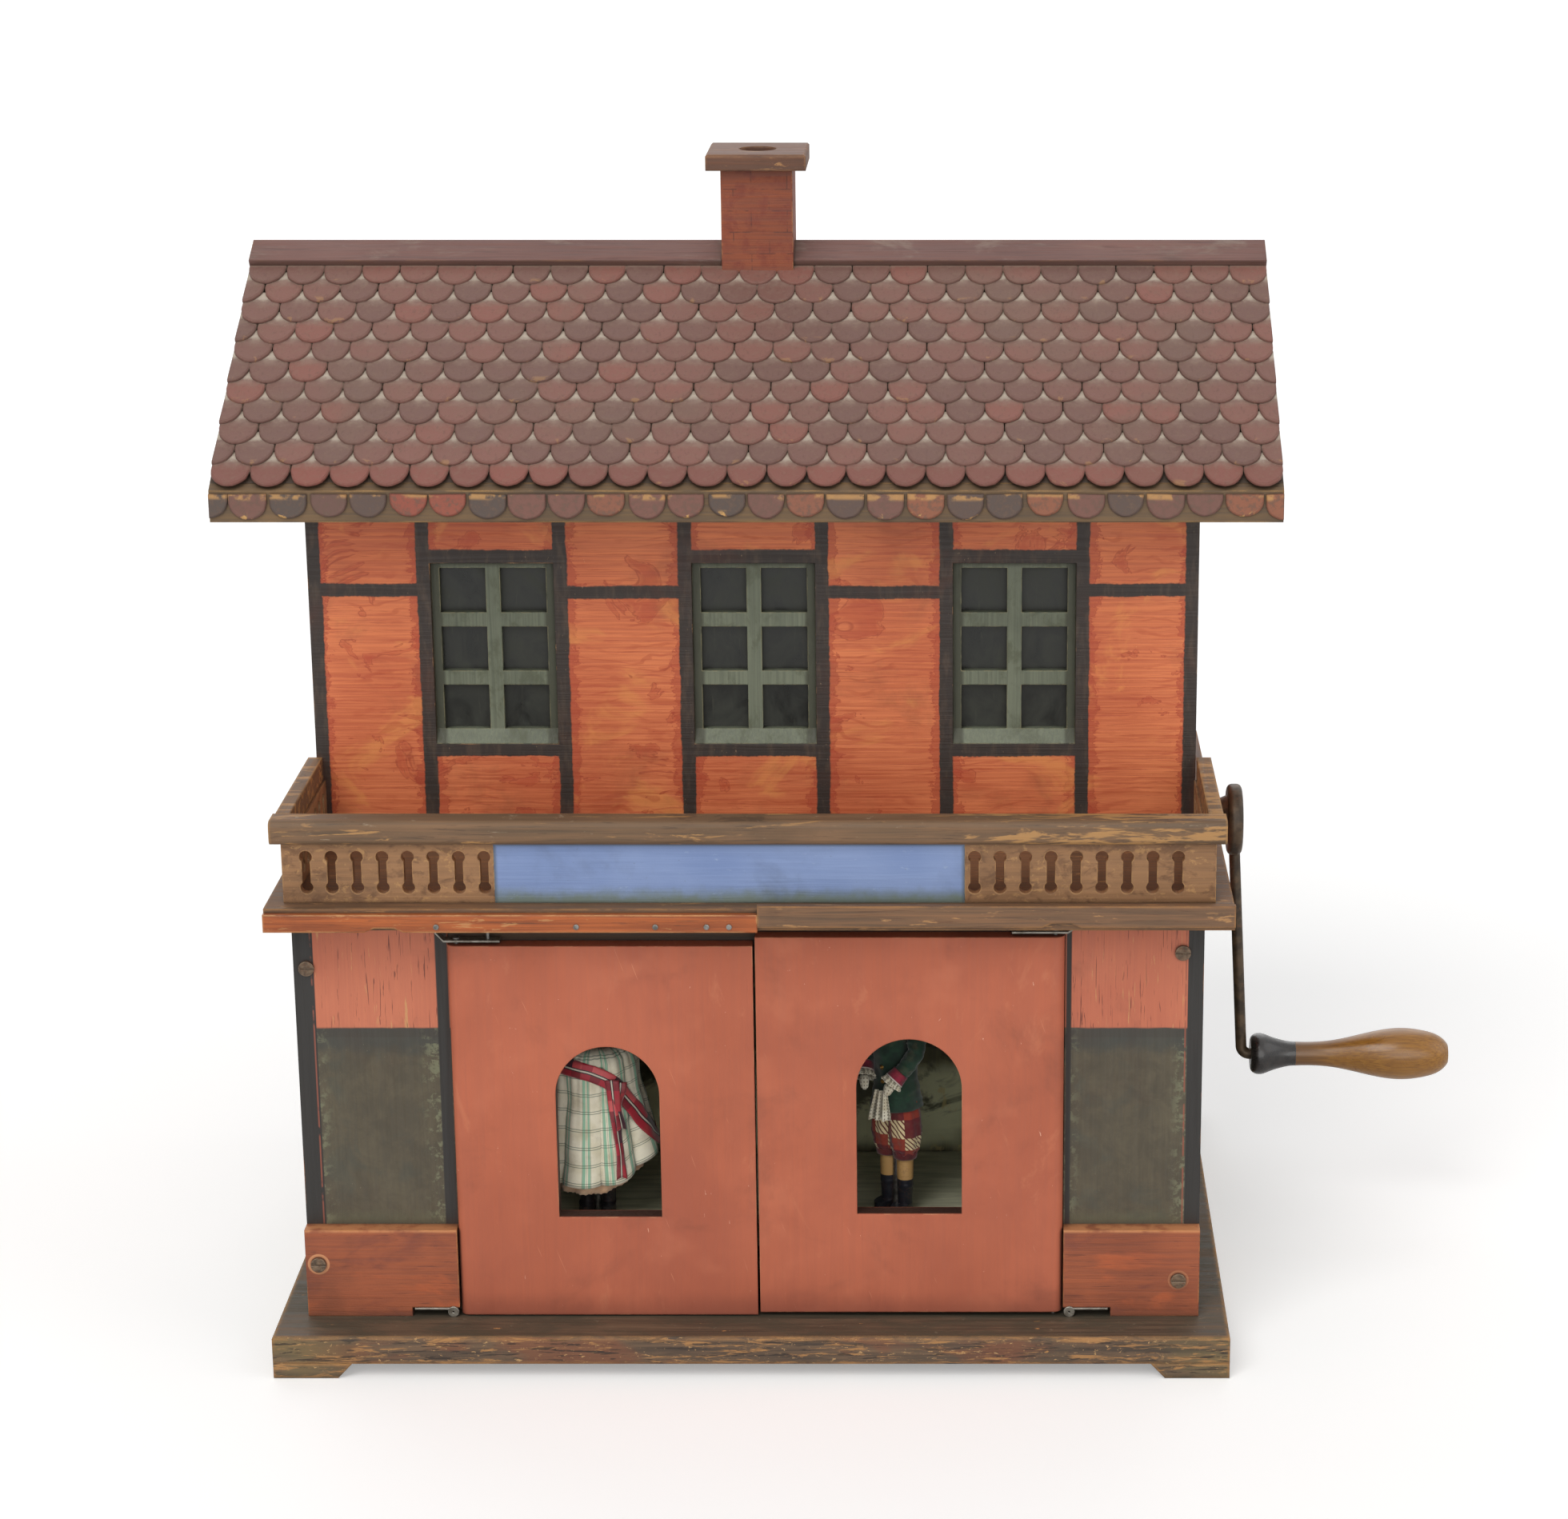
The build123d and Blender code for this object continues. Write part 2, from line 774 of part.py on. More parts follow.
roof_board_front = roof_board(-1)
roof_board_back = roof_board(1)

with BuildPart() as fascia_boards:
    with BuildSketch(sideways(-roof_width / 2, 0, 0)):
        for side in (-1, 1):
            outer_y = ridge_y + side * roof_half_span
            inner_y = outer_y - side * fascia_thick
            with BuildLine():
                Polyline(
                    (outer_y, eave_z - fascia_drop),
                    (inner_y, eave_z - fascia_drop),
                    (inner_y, eave_z + fascia_thick * slope),
                    (outer_y, eave_z),
                    close=True,
                )
            make_face()
    extrude(amount=roof_width)


def scalloped_strip(plane, length, shift):
    """Strip of round-ended tongues that point down the plane, with its tips on the plane's X axis."""
    pitch = roof_width / tongue_count
    first = -roof_width / 2 - shift * pitch
    last = first + (tongue_count + 1) * pitch
    with BuildSketch(plane) as strip:
        with BuildLine():
            for index in range(tongue_count + 1):
                left = first + index * pitch
                ThreePointArc((left, scallop_depth), (left + pitch / 2, 0), (left + pitch, scallop_depth))
            Polyline((last, scallop_depth), (last, length), (first, length), (first, scallop_depth))
        make_face()
        Rectangle(roof_width, length, align=(Align.CENTER, Align.MIN), mode=Mode.INTERSECT)
    extrude(strip.sketch, amount=shingle_thick)


def shingle_plane(side, up, length):
    """Plane of a strip whose upper edge lies on the roof board and whose lower edge is lifted."""
    y, z = roof_point(side, up, length * sin(radians(shingle_tilt)))
    lean = radians(roof_pitch - shingle_tilt)
    return Plane(origin=(house_x, house_y + y, z), x_dir=(-side, 0, 0), z_dir=(0, side * sin(lean), cos(lean)))


def shingle_slope(side):
    """All the rows of one slope, each laid over the row below, and the row on the fascia."""
    with BuildPart() as rows:
        starter = shingle_length - shingle_exposure
        with BuildSketch(shingle_plane(side, 0, starter)):
            Rectangle(roof_width, starter, align=(Align.CENTER, Align.MIN))
        extrude(amount=shingle_thick)
        for index in range(shingle_rows):
            plane = shingle_plane(side, index * shingle_exposure, shingle_length)
            scalloped_strip(plane, shingle_length, 0.5 * (index % 2))
        chimney_hole()
        fascia_plane = Plane(
            origin=(house_x, house_y + ridge_y + side * roof_half_span,
                    eave_z - fascia_drop + fascia_shingle_foot),
            x_dir=(-side, 0, 0), z_dir=(0, side, 0),
        )
        scalloped_strip(fascia_plane, fascia_shingle_height, 0.5)
    return rows


shingles_front = shingle_slope(-1)
shingles_back = shingle_slope(1)

with BuildPart() as ridge_boards:
    foot = shingle_rows * shingle_exposure
    rest = foot + shingle_length
    for side in (-1, 1):
        lower_out = (rest - foot) * sin(radians(shingle_tilt))
        upper_out = (rest - slope_length) * sin(radians(shingle_tilt))
        upper_run = slope_length + ridge_board_thick
        far_out = (rest - upper_run) * sin(radians(shingle_tilt))
        with BuildSketch(sideways(-roof_width / 2, 0, 0)):
            with BuildLine():
                Polyline(
                    roof_point(side, foot, lower_out),
                    roof_point(side, upper_run, far_out),
                    roof_point(side, upper_run, far_out + ridge_board_thick),
                    roof_point(side, foot, lower_out + ridge_board_thick),
                    close=True,
                )
            make_face()
            with Locations((ridge_y + side * roof_half_span / 2, eave_z)):
                Rectangle(roof_half_span, roof_width, mode=Mode.INTERSECT)
        extrude(amount=roof_width)
    chimney_hole()

# ---------------------------------------------------------------------------------------------
# Chimney
# ---------------------------------------------------------------------------------------------

with BuildPart() as chimney_stack:
    half_stack = stack_size / 2
    with BuildSketch(sideways(-half_stack, 0, 0)):
        with BuildLine():
            Polyline(
                (ridge_y - half_stack, stack_top_z),
                (ridge_y - half_stack, ridge_top_z - half_stack * slope),
                (ridge_y, ridge_top_z),
                (ridge_y + half_stack, ridge_top_z - half_stack * slope),
                (ridge_y + half_stack, stack_top_z),
                close=True,
            )
        make_face()
    extrude(amount=stack_size)
    post(0, ridge_y, (stack_top_z - flue_depth, stack_top_z), flue_radius, Mode.SUBTRACT)

with BuildPart() as chimney_cap:
    board((-cap_size / 2, cap_size / 2), (ridge_y - cap_size / 2, ridge_y + cap_size / 2),
          (stack_top_z, stack_top_z + cap_thick))
    chamfer(chimney_cap.edges().group_by(Axis.Z)[-1], base_bevel)
    post(0, ridge_y, (stack_top_z, stack_top_z + cap_thick), flue_radius, Mode.SUBTRACT)

# ---------------------------------------------------------------------------------------------
# Crank: axle, iron hub, bent arm and turned grip
# ---------------------------------------------------------------------------------------------

with BuildPart() as crank_axle:
    bar((axle_left_x, hub_middle_x), axle_y, axle_z, axle_radius)

arm_top_z = axle_z - axle_radius - arm_radius
with BuildPart() as crank_arm:
    with BuildLine(facing(0, axle_y, 0)) as arm_route:
        FilletPolyline(
            (hub_middle_x, arm_top_z),
            (crank_pin_x, crank_pin_z),
            (arm_end_x, crank_pin_z),
            radius=arm_bend,
        )
    with BuildSketch(Plane(origin=arm_route.line @ 0, z_dir=arm_route.line % 0)):
        Circle(arm_radius)
    sweep(path=arm_route.line)

with BuildPart() as crank_hub:
    with BuildSketch(facing(0, axle_y, 0)):
        with BuildLine():
            Polyline(
                (deck_right_x + boss_gap, axle_z),
                (deck_right_x + boss_gap, axle_z + boss_radius),
                (hub_x, axle_z + boss_root_radius),
                (hub_x, axle_z + hub_radius),
                (hub_x + hub_thick, axle_z + hub_radius),
                (hub_x + hub_thick, axle_z),
                close=True,
            )
        make_face()
    revolve(axis=Axis(origin=(house_x, house_y + axle_y, axle_z), direction=(1, 0, 0)))
    rim_edges = crank_hub.edges().filter_by(GeomType.CIRCLE).sort_by(SortBy.RADIUS)[-2:]
    fillet(rim_edges, hub_edge)
    add(crank_axle.part, mode=Mode.SUBTRACT)
    add(crank_arm.part, mode=Mode.SUBTRACT)

grip_axis = Axis(origin=(house_x, house_y + axle_y, crank_pin_z), direction=(1, 0, 0))

with BuildPart() as grip_ferrule:
    with BuildSketch(facing(grip_x, axle_y, crank_pin_z)):
        with BuildLine():
            Spline(*ferrule_flare, (ferrule_length, grip_neck_radius))
            Polyline((ferrule_length, grip_neck_radius), (ferrule_length, 0), (0, 0), ferrule_flare[0])
        make_face()
    revolve(axis=grip_axis)
    bar((grip_x, grip_x + ferrule_length), axle_y, crank_pin_z, arm_radius + running_fit, Mode.SUBTRACT)

with BuildPart() as crank_grip:
    with BuildSketch(facing(grip_x, axle_y, crank_pin_z)):
        with BuildLine():
            Spline((ferrule_length, grip_neck_radius), *grip_swell)
            Polyline(grip_swell[-1], (grip_length, 0), (ferrule_length, 0), (ferrule_length, grip_neck_radius))
        make_face()
    revolve(axis=grip_axis)
    bar((grip_x + ferrule_length, arm_end_x), axle_y, crank_pin_z, arm_radius + running_fit, Mode.SUBTRACT)

# ---------------------------------------------------------------------------------------------
# Pegged crown wheel on the axle and lantern pinion on the drop spindle
# ---------------------------------------------------------------------------------------------

with BuildPart() as crown_wheel:
    bar((crown_x, crown_x + crown_thick), axle_y, axle_z, crown_radius + crown_rim)
    for index in range(crown_pegs):
        turn = (index + 0.5) * 2 * pi / crown_pegs
        bar((peg_tip_x, crown_x), axle_y + crown_radius * sin(turn), axle_z - crown_radius * cos(turn),
            stave_radius)
    bar((crown_x, crown_x + crown_thick), axle_y, axle_z, axle_radius, Mode.SUBTRACT)

with BuildPart() as lantern_pinion:
    for disc_z in (lantern_bottom, lantern_top - lantern_disc):
        post(0, axle_y, (disc_z, disc_z + lantern_disc), lantern_radius + lantern_rim)
    for index in range(lantern_staves):
        turn = index * 2 * pi / lantern_staves
        post(lantern_radius * cos(turn), axle_y + lantern_radius * sin(turn),
             (lantern_bottom, lantern_top), stave_radius)
    post(0, axle_y, (lantern_bottom, lantern_top), spindle_radius, Mode.SUBTRACT)


def pulley(x, y, groove_radius):
    """Add a grooved disc on an upright spindle."""
    rim_radius = groove_radius + groove_depth
    post(x, y, (pulley_z, pulley_z + pulley_flange), rim_radius)
    post(x, y, (pulley_z, pulley_z + pulley_thick), groove_radius)
    post(x, y, (pulley_z + pulley_thick - pulley_flange, pulley_z + pulley_thick), rim_radius)


with BuildPart() as drop_spindle:
    post(0, axle_y, (base_top - bearing_depth, shelf_z + shelf_thick + bearing_depth), spindle_radius)
    pulley(0, axle_y, drive_groove_radius)

pulley_places = (
    (0, axle_y, drive_groove_radius),
    (left_dancer_x, dancer_y, dancer_groove_radius),
    (right_dancer_x, dancer_y, dancer_groove_radius),
)


def belt_loop(extra):
    """Outline of a belt around all three pulleys, at a distance over their grooves."""
    with BuildSketch(level(0, 0, belt_z - belt_width / 2)) as loop:
        with BuildLine() as circles:
            for x, y, radius in pulley_places:
                CenterArc((x, y), radius + extra, 0, 360)
        make_hull(circles.edges())
    return loop.sketch


with BuildPart() as drive_belt:
    extrude(belt_loop(passing_gap + belt_thick), amount=belt_width)
    extrude(belt_loop(passing_gap), amount=belt_width, mode=Mode.SUBTRACT)

# ---------------------------------------------------------------------------------------------
# Shelf, blocks, barrel and comb
# ---------------------------------------------------------------------------------------------

with BuildPart() as shaft_shelf:
    board((shelf_left_x, shelf_right_x), (backdrop_y + backdrop_thick, back_panel_y), (shelf_z, shelf_top))
    post(0, axle_y, (shelf_z, shelf_top), spindle_radius + running_fit, Mode.SUBTRACT)

with BuildPart() as support_blocks:
    board((block_left_x, block_left_x + block_thick), (axle_y - block_width / 2, axle_y + block_width / 2),
          (shelf_top, axle_z + axle_radius + block_crown))
    bar((block_left_x, block_left_x + block_thick), axle_y, axle_z, axle_radius + running_fit, Mode.SUBTRACT)
    board((comb_x, comb_x + comb_width), (comb_front + comb_depth - comb_seat, comb_front + comb_depth),
          (shelf_top, axle_z - comb_thick / 2))

with BuildPart() as music_barrel:
    bar((barrel_left_x, barrel_left_x + barrel_length), axle_y, axle_z, barrel_radius)
    for index in range(comb_teeth):
        pin_x = comb_x + (index + 0.5) * tooth_pitch
        for step in (7, 12):
            turn = radians(step * index * 360 / comb_teeth + step)
            reach = Vector(0, cos(turn), sin(turn))
            foot_point = Vector(house_x + pin_x, house_y + axle_y, axle_z) + reach * (barrel_radius - pin_height)
            with BuildSketch(Plane(origin=foot_point, z_dir=reach)):
                Circle(pin_radius)
            extrude(amount=2 * pin_height)
    bar((barrel_left_x, barrel_left_x + barrel_length), axle_y, axle_z, axle_radius, Mode.SUBTRACT)

with BuildPart() as music_comb:
    board((comb_x, comb_x + comb_width), (comb_front, comb_front + comb_depth),
          (axle_z - comb_thick / 2, axle_z + comb_thick / 2))
    for index in range(1, comb_teeth):
        slit_x = comb_x + index * tooth_pitch
        board((slit_x - tooth_slit / 2, slit_x + tooth_slit / 2), (comb_front, comb_front + tooth_length),
              (axle_z - comb_thick / 2, axle_z + comb_thick / 2), Mode.SUBTRACT)

# ---------------------------------------------------------------------------------------------
# Dancers
# ---------------------------------------------------------------------------------------------


def dancer_spindle(x, top_z):
    """Upright spindle of a dancer with its pulley under the stage."""
    with BuildPart() as spindle:
        post(x, dancer_y, (base_top - bearing_depth, top_z), dancer_spindle_radius)
        pulley(x, dancer_y, dancer_groove_radius)
    return spindle


def limb(stance, stations):
    """Add a tapering limb with rounded joints; each station is (x, y, z, radius) on the stance."""
    balls = [(stance.from_local_coords(station[:3]), station[3]) for station in stations]
    for (start, start_radius), (end, end_radius) in zip(balls, balls[1:]):
        with BuildSketch(Plane(origin=start, z_dir=end - start)) as low:
            Circle(start_radius)
        with BuildSketch(Plane(origin=end, z_dir=end - start)) as high:
            Circle(end_radius)
        loft([low.sketch, high.sketch])
    for centre, radius in balls:
        with Locations(centre):
            Sphere(radius * 1.03)


def turned_shape(stance, profile):
    """Add a solid of revolution about the stance; each profile point is (radius, z)."""
    upright = Plane(origin=stance.origin, x_dir=stance.x_dir, z_dir=-stance.y_dir)
    with BuildSketch(upright) as outline:
        with BuildLine():
            Polyline((0, profile[0][1]), profile[0])
            Spline(*profile)
            Polyline(profile[-1], (0, profile[-1][1]), (0, profile[0][1]))
        make_face()
    revolve(outline.sketch, axis=Axis(origin=stance.origin, direction=stance.z_dir))


def boot(stance, x):
    """Add a boot whose sole hangs just over the stage and whose toe points to the front."""
    with BuildSketch(Plane(origin=stance.from_local_coords((x, -heel_offset, sole_z)), x_dir=stance.x_dir,
                           z_dir=stance.z_dir)) as sole:
        Ellipse(sole_half_width, sole_half_length)
    extrude(sole.sketch, amount=sole_height)
    limb(stance, ((x, 0, sole_z + sole_height, 3.0), (x, 0, boot_top_z, sole_half_width)))


def arm(stance, side, stations):
    """Add an arm that hangs from the shoulder on one side."""
    limb(stance, [(side * out, -front, shoulder_z - drop, radius) for out, front, drop, radius in stations])


left_stance = level(left_dancer_x, dancer_y, 0)
right_stance = level(right_dancer_x, dancer_y, 0).rotated((0, 0, right_dancer_turn))

dancer_left_spindle = dancer_spindle(left_dancer_x, left_spindle_top_z)
dancer_right_spindle = dancer_spindle(right_dancer_x, right_spindle_top_z)


def head_and_neck(stance):
    """Add the neck, head, nose and hair of a dancer."""
    limb(stance, ((0, 0, shoulder_z, 3.2), (0, 0, head_z - head_radius / 2, 3.0)))
    turned_shape(stance, [(radius, head_z + rise) for radius, rise in face_shape])
    with Locations(stance.from_local_coords((0, nose_radius - head_radius, head_z - nose_radius))):
        Sphere(nose_radius)
    with Locations(stance.from_local_coords((0, head_radius / 5, head_z + head_radius / 5))):
        Sphere(head_radius)


with BuildPart() as dancer_left_figure:
    for foot_side in (-1, 1):
        boot(left_stance, foot_side * foot_spread)
        limb(left_stance, ((foot_side * foot_spread, 0, boot_top_z, 2.6), (foot_side * thigh_spread, 0, hip_z, 3.0)))
        arm(left_stance, foot_side, bare_arm)
    turned_shape(left_stance, (
        (3.0, hip_z - arm_drop),
        (waist_radius, hip_z + arm_drop),
        (waist_radius, skirt_waist_z + passing_gap),
        (8.6, shoulder_z - armpit_drop),
        (7.0, shoulder_z),
        (2.6, shoulder_z + collar_rise),
    ))
    head_and_neck(left_stance)
    post(left_dancer_x, dancer_y, (sole_z, left_spindle_top_z), dancer_spindle_radius, Mode.SUBTRACT)


def folded_ring(z, crest, valley):
    """Outline of a gathered skirt at a height: one outward arc for each fold."""
    with BuildSketch(level(left_dancer_x, dancer_y, z)) as ring:
        with BuildLine():
            for index in range(skirt_folds):
                start = index * 2 * pi / skirt_folds
                middle = start + pi / skirt_folds
                end = start + 2 * pi / skirt_folds
                ThreePointArc(
                    (valley * cos(start), valley * sin(start)),
                    (crest * cos(middle), crest * sin(middle)),
                    (valley * cos(end), valley * sin(end)),
                )
        make_face()
    return ring.sketch


def skirt_outside(extra, mode=Mode.ADD):
    """Add or cut the skirt's outer form, grown by an amount."""
    loft([
        folded_ring(skirt_hem_z, skirt_hem_crest + extra, skirt_hem_valley + extra),
        folded_ring(skirt_knee_z, skirt_knee_crest + extra, skirt_knee_valley + extra),
        folded_ring(skirt_waist_z, skirt_waist_crest + extra, skirt_waist_valley + extra),
    ], mode=mode)


with BuildPart() as dancer_left_skirt:
    skirt_outside(0)
    inner_hem = skirt_hem_valley - skirt_wall
    inner_top_z = skirt_waist_z - waist_band
    with BuildSketch(level(left_dancer_x, dancer_y, skirt_hem_z)) as hem_hollow:
        Circle(inner_hem)
    with BuildSketch(level(left_dancer_x, dancer_y, inner_top_z)) as waist_hollow:
        Circle(waist_radius)
    loft([hem_hollow.sketch, waist_hollow.sketch], mode=Mode.SUBTRACT)
    post(left_dancer_x, dancer_y, (inner_top_z, skirt_waist_z), waist_radius, Mode.SUBTRACT)
    add(dancer_left_figure.part, mode=Mode.SUBTRACT)

with BuildPart() as dancer_left_ribbon:
    skirt_outside(passing_gap + ribbon_thick)
    with BuildSketch(level(left_dancer_x, dancer_y, ribbon_z).rotated((0, ribbon_tilt, 0))) as band:
        Rectangle(4 * skirt_hem_crest, 4 * skirt_hem_crest)
    extrude(band.sketch, amount=ribbon_width, mode=Mode.INTERSECT)
    skirt_outside(passing_gap, Mode.SUBTRACT)
    post(left_dancer_x, dancer_y, (skirt_hem_z, skirt_waist_z), skirt_waist_valley / 2, Mode.SUBTRACT)

with BuildPart() as dancer_right_figure:
    for foot_side in (-1, 1):
        boot(right_stance, foot_side * foot_spread)
        limb(right_stance, (
            (foot_side * foot_spread, 0, boot_top_z, 3.4),
            (foot_side * foot_spread, 0, knee_z, 3.6),
            (foot_side * thigh_spread, 0, hip_z, 3.4),
        ))
    limb(right_stance, ((0, 0, hip_z - arm_drop, 4.6), (0, 0, shoulder_z, 4.6)))
    head_and_neck(right_stance)
    post(right_dancer_x, dancer_y, (sole_z, right_spindle_top_z), dancer_spindle_radius, Mode.SUBTRACT)

with BuildPart() as dancer_right_clothes:
    for foot_side in (-1, 1):
        limb(right_stance, (
            (foot_side * foot_spread, 0, breeches_z, 5.0),
            (foot_side * foot_spread, 0, seat_z, 6.4),
            (foot_side * thigh_spread, 0, hip_z - arm_drop, 6.2),
        ))
        arm(right_stance, foot_side, jacket_arm)
    turned_shape(right_stance, (
        (9.6, hip_z - armpit_drop),
        (8.6, hip_z + armpit_drop),
        (9.6, shoulder_z - armpit_drop),
        (7.6, shoulder_z),
        (3.4, shoulder_z + collar_rise),
    ))
    add(dancer_right_figure.part, mode=Mode.SUBTRACT)
    post(right_dancer_x, dancer_y, (sole_z, right_spindle_top_z), dancer_spindle_radius, Mode.SUBTRACT)

# ---------------------------------------------------------------------------------------------
# Hinge straps, nails and screws
# ---------------------------------------------------------------------------------------------

left_door_top = base_top + left_door_foot + left_door_height
right_door_top = base_top + right_door_foot + right_door_height
strap_y = (pivot_y - strap_width / 2, pivot_y + strap_width / 2)
notch_ceiling = base_top + notch_height
hinge_places = ((left_pivot_x, left_jamb_x, left_door_top, -1), (right_pivot_x, right_jamb_x, right_door_top, 1))

with BuildPart() as hinge_straps:
    for pivot_x, jamb_x, door_top, outward in hinge_places:
        low = door_top + strap_gap
        high = deck_bottom - strap_thick
        run = [
            (pivot_x + outward * strap_reach, high),
            (pivot_x + outward * (strap_reach - strap_width), high),
            (pivot_x + outward * strap_width, low),
            (pivot_x - outward * strap_reach, low),
        ]
        with BuildSketch(facing(0, strap_y[0], 0)) as strap_side:
            with BuildLine():
                Polyline(*run, *[(x, z + strap_thick) for x, z in reversed(run)], close=True)
            make_face()
        extrude(strap_side.sketch, amount=-strap_width)
        post(pivot_x, pivot_y, (low, low + strap_thick), nail_radius, Mode.SUBTRACT)
        post(pivot_x - outward * hanger_inset, pivot_y, (low, low + strap_thick), nail_radius, Mode.SUBTRACT)
        eye_x = jamb_x + outward * (strap_eye_radius + jamb_gap)
        board(sorted((eye_x - outward * strap_thick, jamb_x + outward * (notch_width - strap_gap))),
              (-strap_thick, strap_width), (notch_ceiling - strap_thick, notch_ceiling))
        peg(eye_x, (-strap_thick, 0), base_top + strap_eye_radius, strap_eye_radius)
        peg(eye_x, (-strap_thick, 0), base_top + strap_eye_radius, nail_radius / 2, Mode.SUBTRACT)

with BuildPart() as wire_nails:
    for pivot_x, jamb_x, door_top, outward in hinge_places:
        low = door_top + strap_gap
        post(pivot_x, pivot_y, (base_top - door_thick, base_top + door_thick), nail_radius)
        post(pivot_x, pivot_y, (door_top - door_thick + strap_gap, low + strap_thick), nail_radius)
        post(pivot_x, pivot_y, (low + strap_thick, low + 2 * strap_thick), 2 * nail_radius)
        hanger_x = pivot_x - outward * hanger_inset
        post(hanger_x, pivot_y, (low, deck_bottom + hanger_depth), nail_radius)
        post(hanger_x, pivot_y, (low - strap_thick / 2, low), 2 * nail_radius)
    nail_z = deck_bottom + left_trim_height / 3
    trim_face = -deck_front - trim_thick
    for nail_x in trim_nail_places:
        peg(nail_x, (trim_face - trim_nail_radius, trim_face), nail_z, trim_nail_head)
        peg(nail_x, (trim_face, trim_face + trim_nail_length), nail_z, trim_nail_radius)

screw_places = (
    (left_screw_x, 0, left_plinth_screw_z, plinth_thick),
    (right_screw_x, 0, right_plinth_screw_z, plinth_thick),
    (left_screw_x, plinth_thick, left_post_screw_z, screw_length),
    (right_screw_x, plinth_thick, right_post_screw_z, screw_length),
)
with BuildPart() as wood_screws:
    for screw_x, face_y, screw_z, length in screw_places:
        peg(screw_x, (face_y - screw_head_height, face_y), screw_z, screw_head_radius)
        board((screw_x - screw_head_radius, screw_x + screw_head_radius),
              (face_y - screw_head_height, face_y - screw_head_height / 2),
              (screw_z - screw_slot / 2, screw_z + screw_slot / 2), Mode.SUBTRACT)
        peg(screw_x, (face_y, face_y + length), screw_z, screw_radius)

# ---------------------------------------------------------------------------------------------
# Files, one for each sub-part
# ---------------------------------------------------------------------------------------------

sub_parts = {
    "base_board": base_board,
    "foot_battens": foot_battens,
    "side_wall_left": side_wall_left,
    "side_wall_right": side_wall_right,
    "back_panel": back_panel,
    "pilaster_left": pilaster_left,
    "pilaster_right": pilaster_right,
    "plinth_left": plinth_left,
    "plinth_right": plinth_right,
    "lintel": lintel,
    "door_left": door_left,
    "door_right": door_right,
    "stage_floor": stage_floor,
    "stage_backdrop": stage_backdrop,
    "deck_board": deck_board,
    "deck_side_boards": deck_side_boards,
    "deck_strip_left": deck_strip_left,
    "deck_strip_right": deck_strip_right,
    "fretwork_front_left": fretwork_front_left,
    "fretwork_front_right": fretwork_front_right,
    "fretwork_sides": fretwork_sides,
    "sign_board": sign_board,
    "handrail_front": handrail_front,
    "handrail_sides": handrail_sides,
    "upper_front": upper_front,
    "gable_left": gable_left,
    "gable_right": gable_right,
    "window_sashes": window_sashes,
    "window_panes": window_panes,
    "roof_board_front": roof_board_front,
    "roof_board_back": roof_board_back,
    "fascia_boards": fascia_boards,
    "shingles_front": shingles_front,
    "shingles_back": shingles_back,
    "ridge_boards": ridge_boards,
    "chimney_stack": chimney_stack,
    "chimney_cap": chimney_cap,
    "crank_axle": crank_axle,
    "crank_hub": crank_hub,
    "crank_arm": crank_arm,
    "grip_ferrule": grip_ferrule,
    "crank_grip": crank_grip,
    "crown_wheel": crown_wheel,
    "lantern_pinion": lantern_pinion,
    "drop_spindle": drop_spindle,
    "drive_belt": drive_belt,
    "shaft_shelf": shaft_shelf,
    "support_blocks": support_blocks,
    "music_barrel": music_barrel,
    "music_comb": music_comb,
    "dancer_left_spindle": dancer_left_spindle,
    "dancer_left_figure": dancer_left_figure,
    "dancer_left_skirt": dancer_left_skirt,
    "dancer_left_ribbon": dancer_left_ribbon,
    "dancer_right_spindle": dancer_right_spindle,
    "dancer_right_figure": dancer_right_figure,
    "dancer_right_clothes": dancer_right_clothes,
    "hinge_straps": hinge_straps,
    "wire_nails": wire_nails,
    "wood_screws": wood_screws,
}

os.makedirs("parts", exist_ok=True)
for name, piece in sub_parts.items():
    piece.part.label = name
    export_step(piece.part, f"parts/{name}.step")
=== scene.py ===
"""Looks of the hand-cranked wooden toy inn: worn paint, tiles, dressed dancers and soft light.

House coordinates are used for places: X runs right from the middle of the house, Y runs back from
the front of the doors and Z runs up from the table, all in millimetres.
"""
import math
import random
from functools import reduce
from operator import and_, or_

import bpy
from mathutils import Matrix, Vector, noise


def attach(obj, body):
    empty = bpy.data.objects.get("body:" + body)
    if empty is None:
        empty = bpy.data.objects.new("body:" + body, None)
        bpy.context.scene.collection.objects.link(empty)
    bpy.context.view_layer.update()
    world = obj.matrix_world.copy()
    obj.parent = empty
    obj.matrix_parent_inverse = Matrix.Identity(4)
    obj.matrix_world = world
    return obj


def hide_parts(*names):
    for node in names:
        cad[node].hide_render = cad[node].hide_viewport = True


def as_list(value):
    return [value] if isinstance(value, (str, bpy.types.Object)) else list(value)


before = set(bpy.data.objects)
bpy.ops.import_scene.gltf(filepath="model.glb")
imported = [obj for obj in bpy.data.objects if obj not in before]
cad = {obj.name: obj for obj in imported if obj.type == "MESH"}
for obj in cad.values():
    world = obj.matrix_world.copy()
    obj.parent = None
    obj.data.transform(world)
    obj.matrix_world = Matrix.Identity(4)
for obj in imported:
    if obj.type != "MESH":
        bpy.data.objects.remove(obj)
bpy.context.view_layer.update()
scene = bpy.context.scene

MM = 0.001
HOUSE_X = -45.2
HOUSE_Y = -139.872
WINDOW_PITCH = 110.0
WHITE = (1.0, 1.0, 1.0, 1.0)
made = {}


def at(x, y, z):
    """Point of the row frame, in metres, of a place in house millimetres."""
    return Vector(((x + HOUSE_X) * MM, (y + HOUSE_Y) * MM, z * MM))


# ---------------------------------------------------------------------------------------------
# Nodes: materials are written as sums of values
# ---------------------------------------------------------------------------------------------

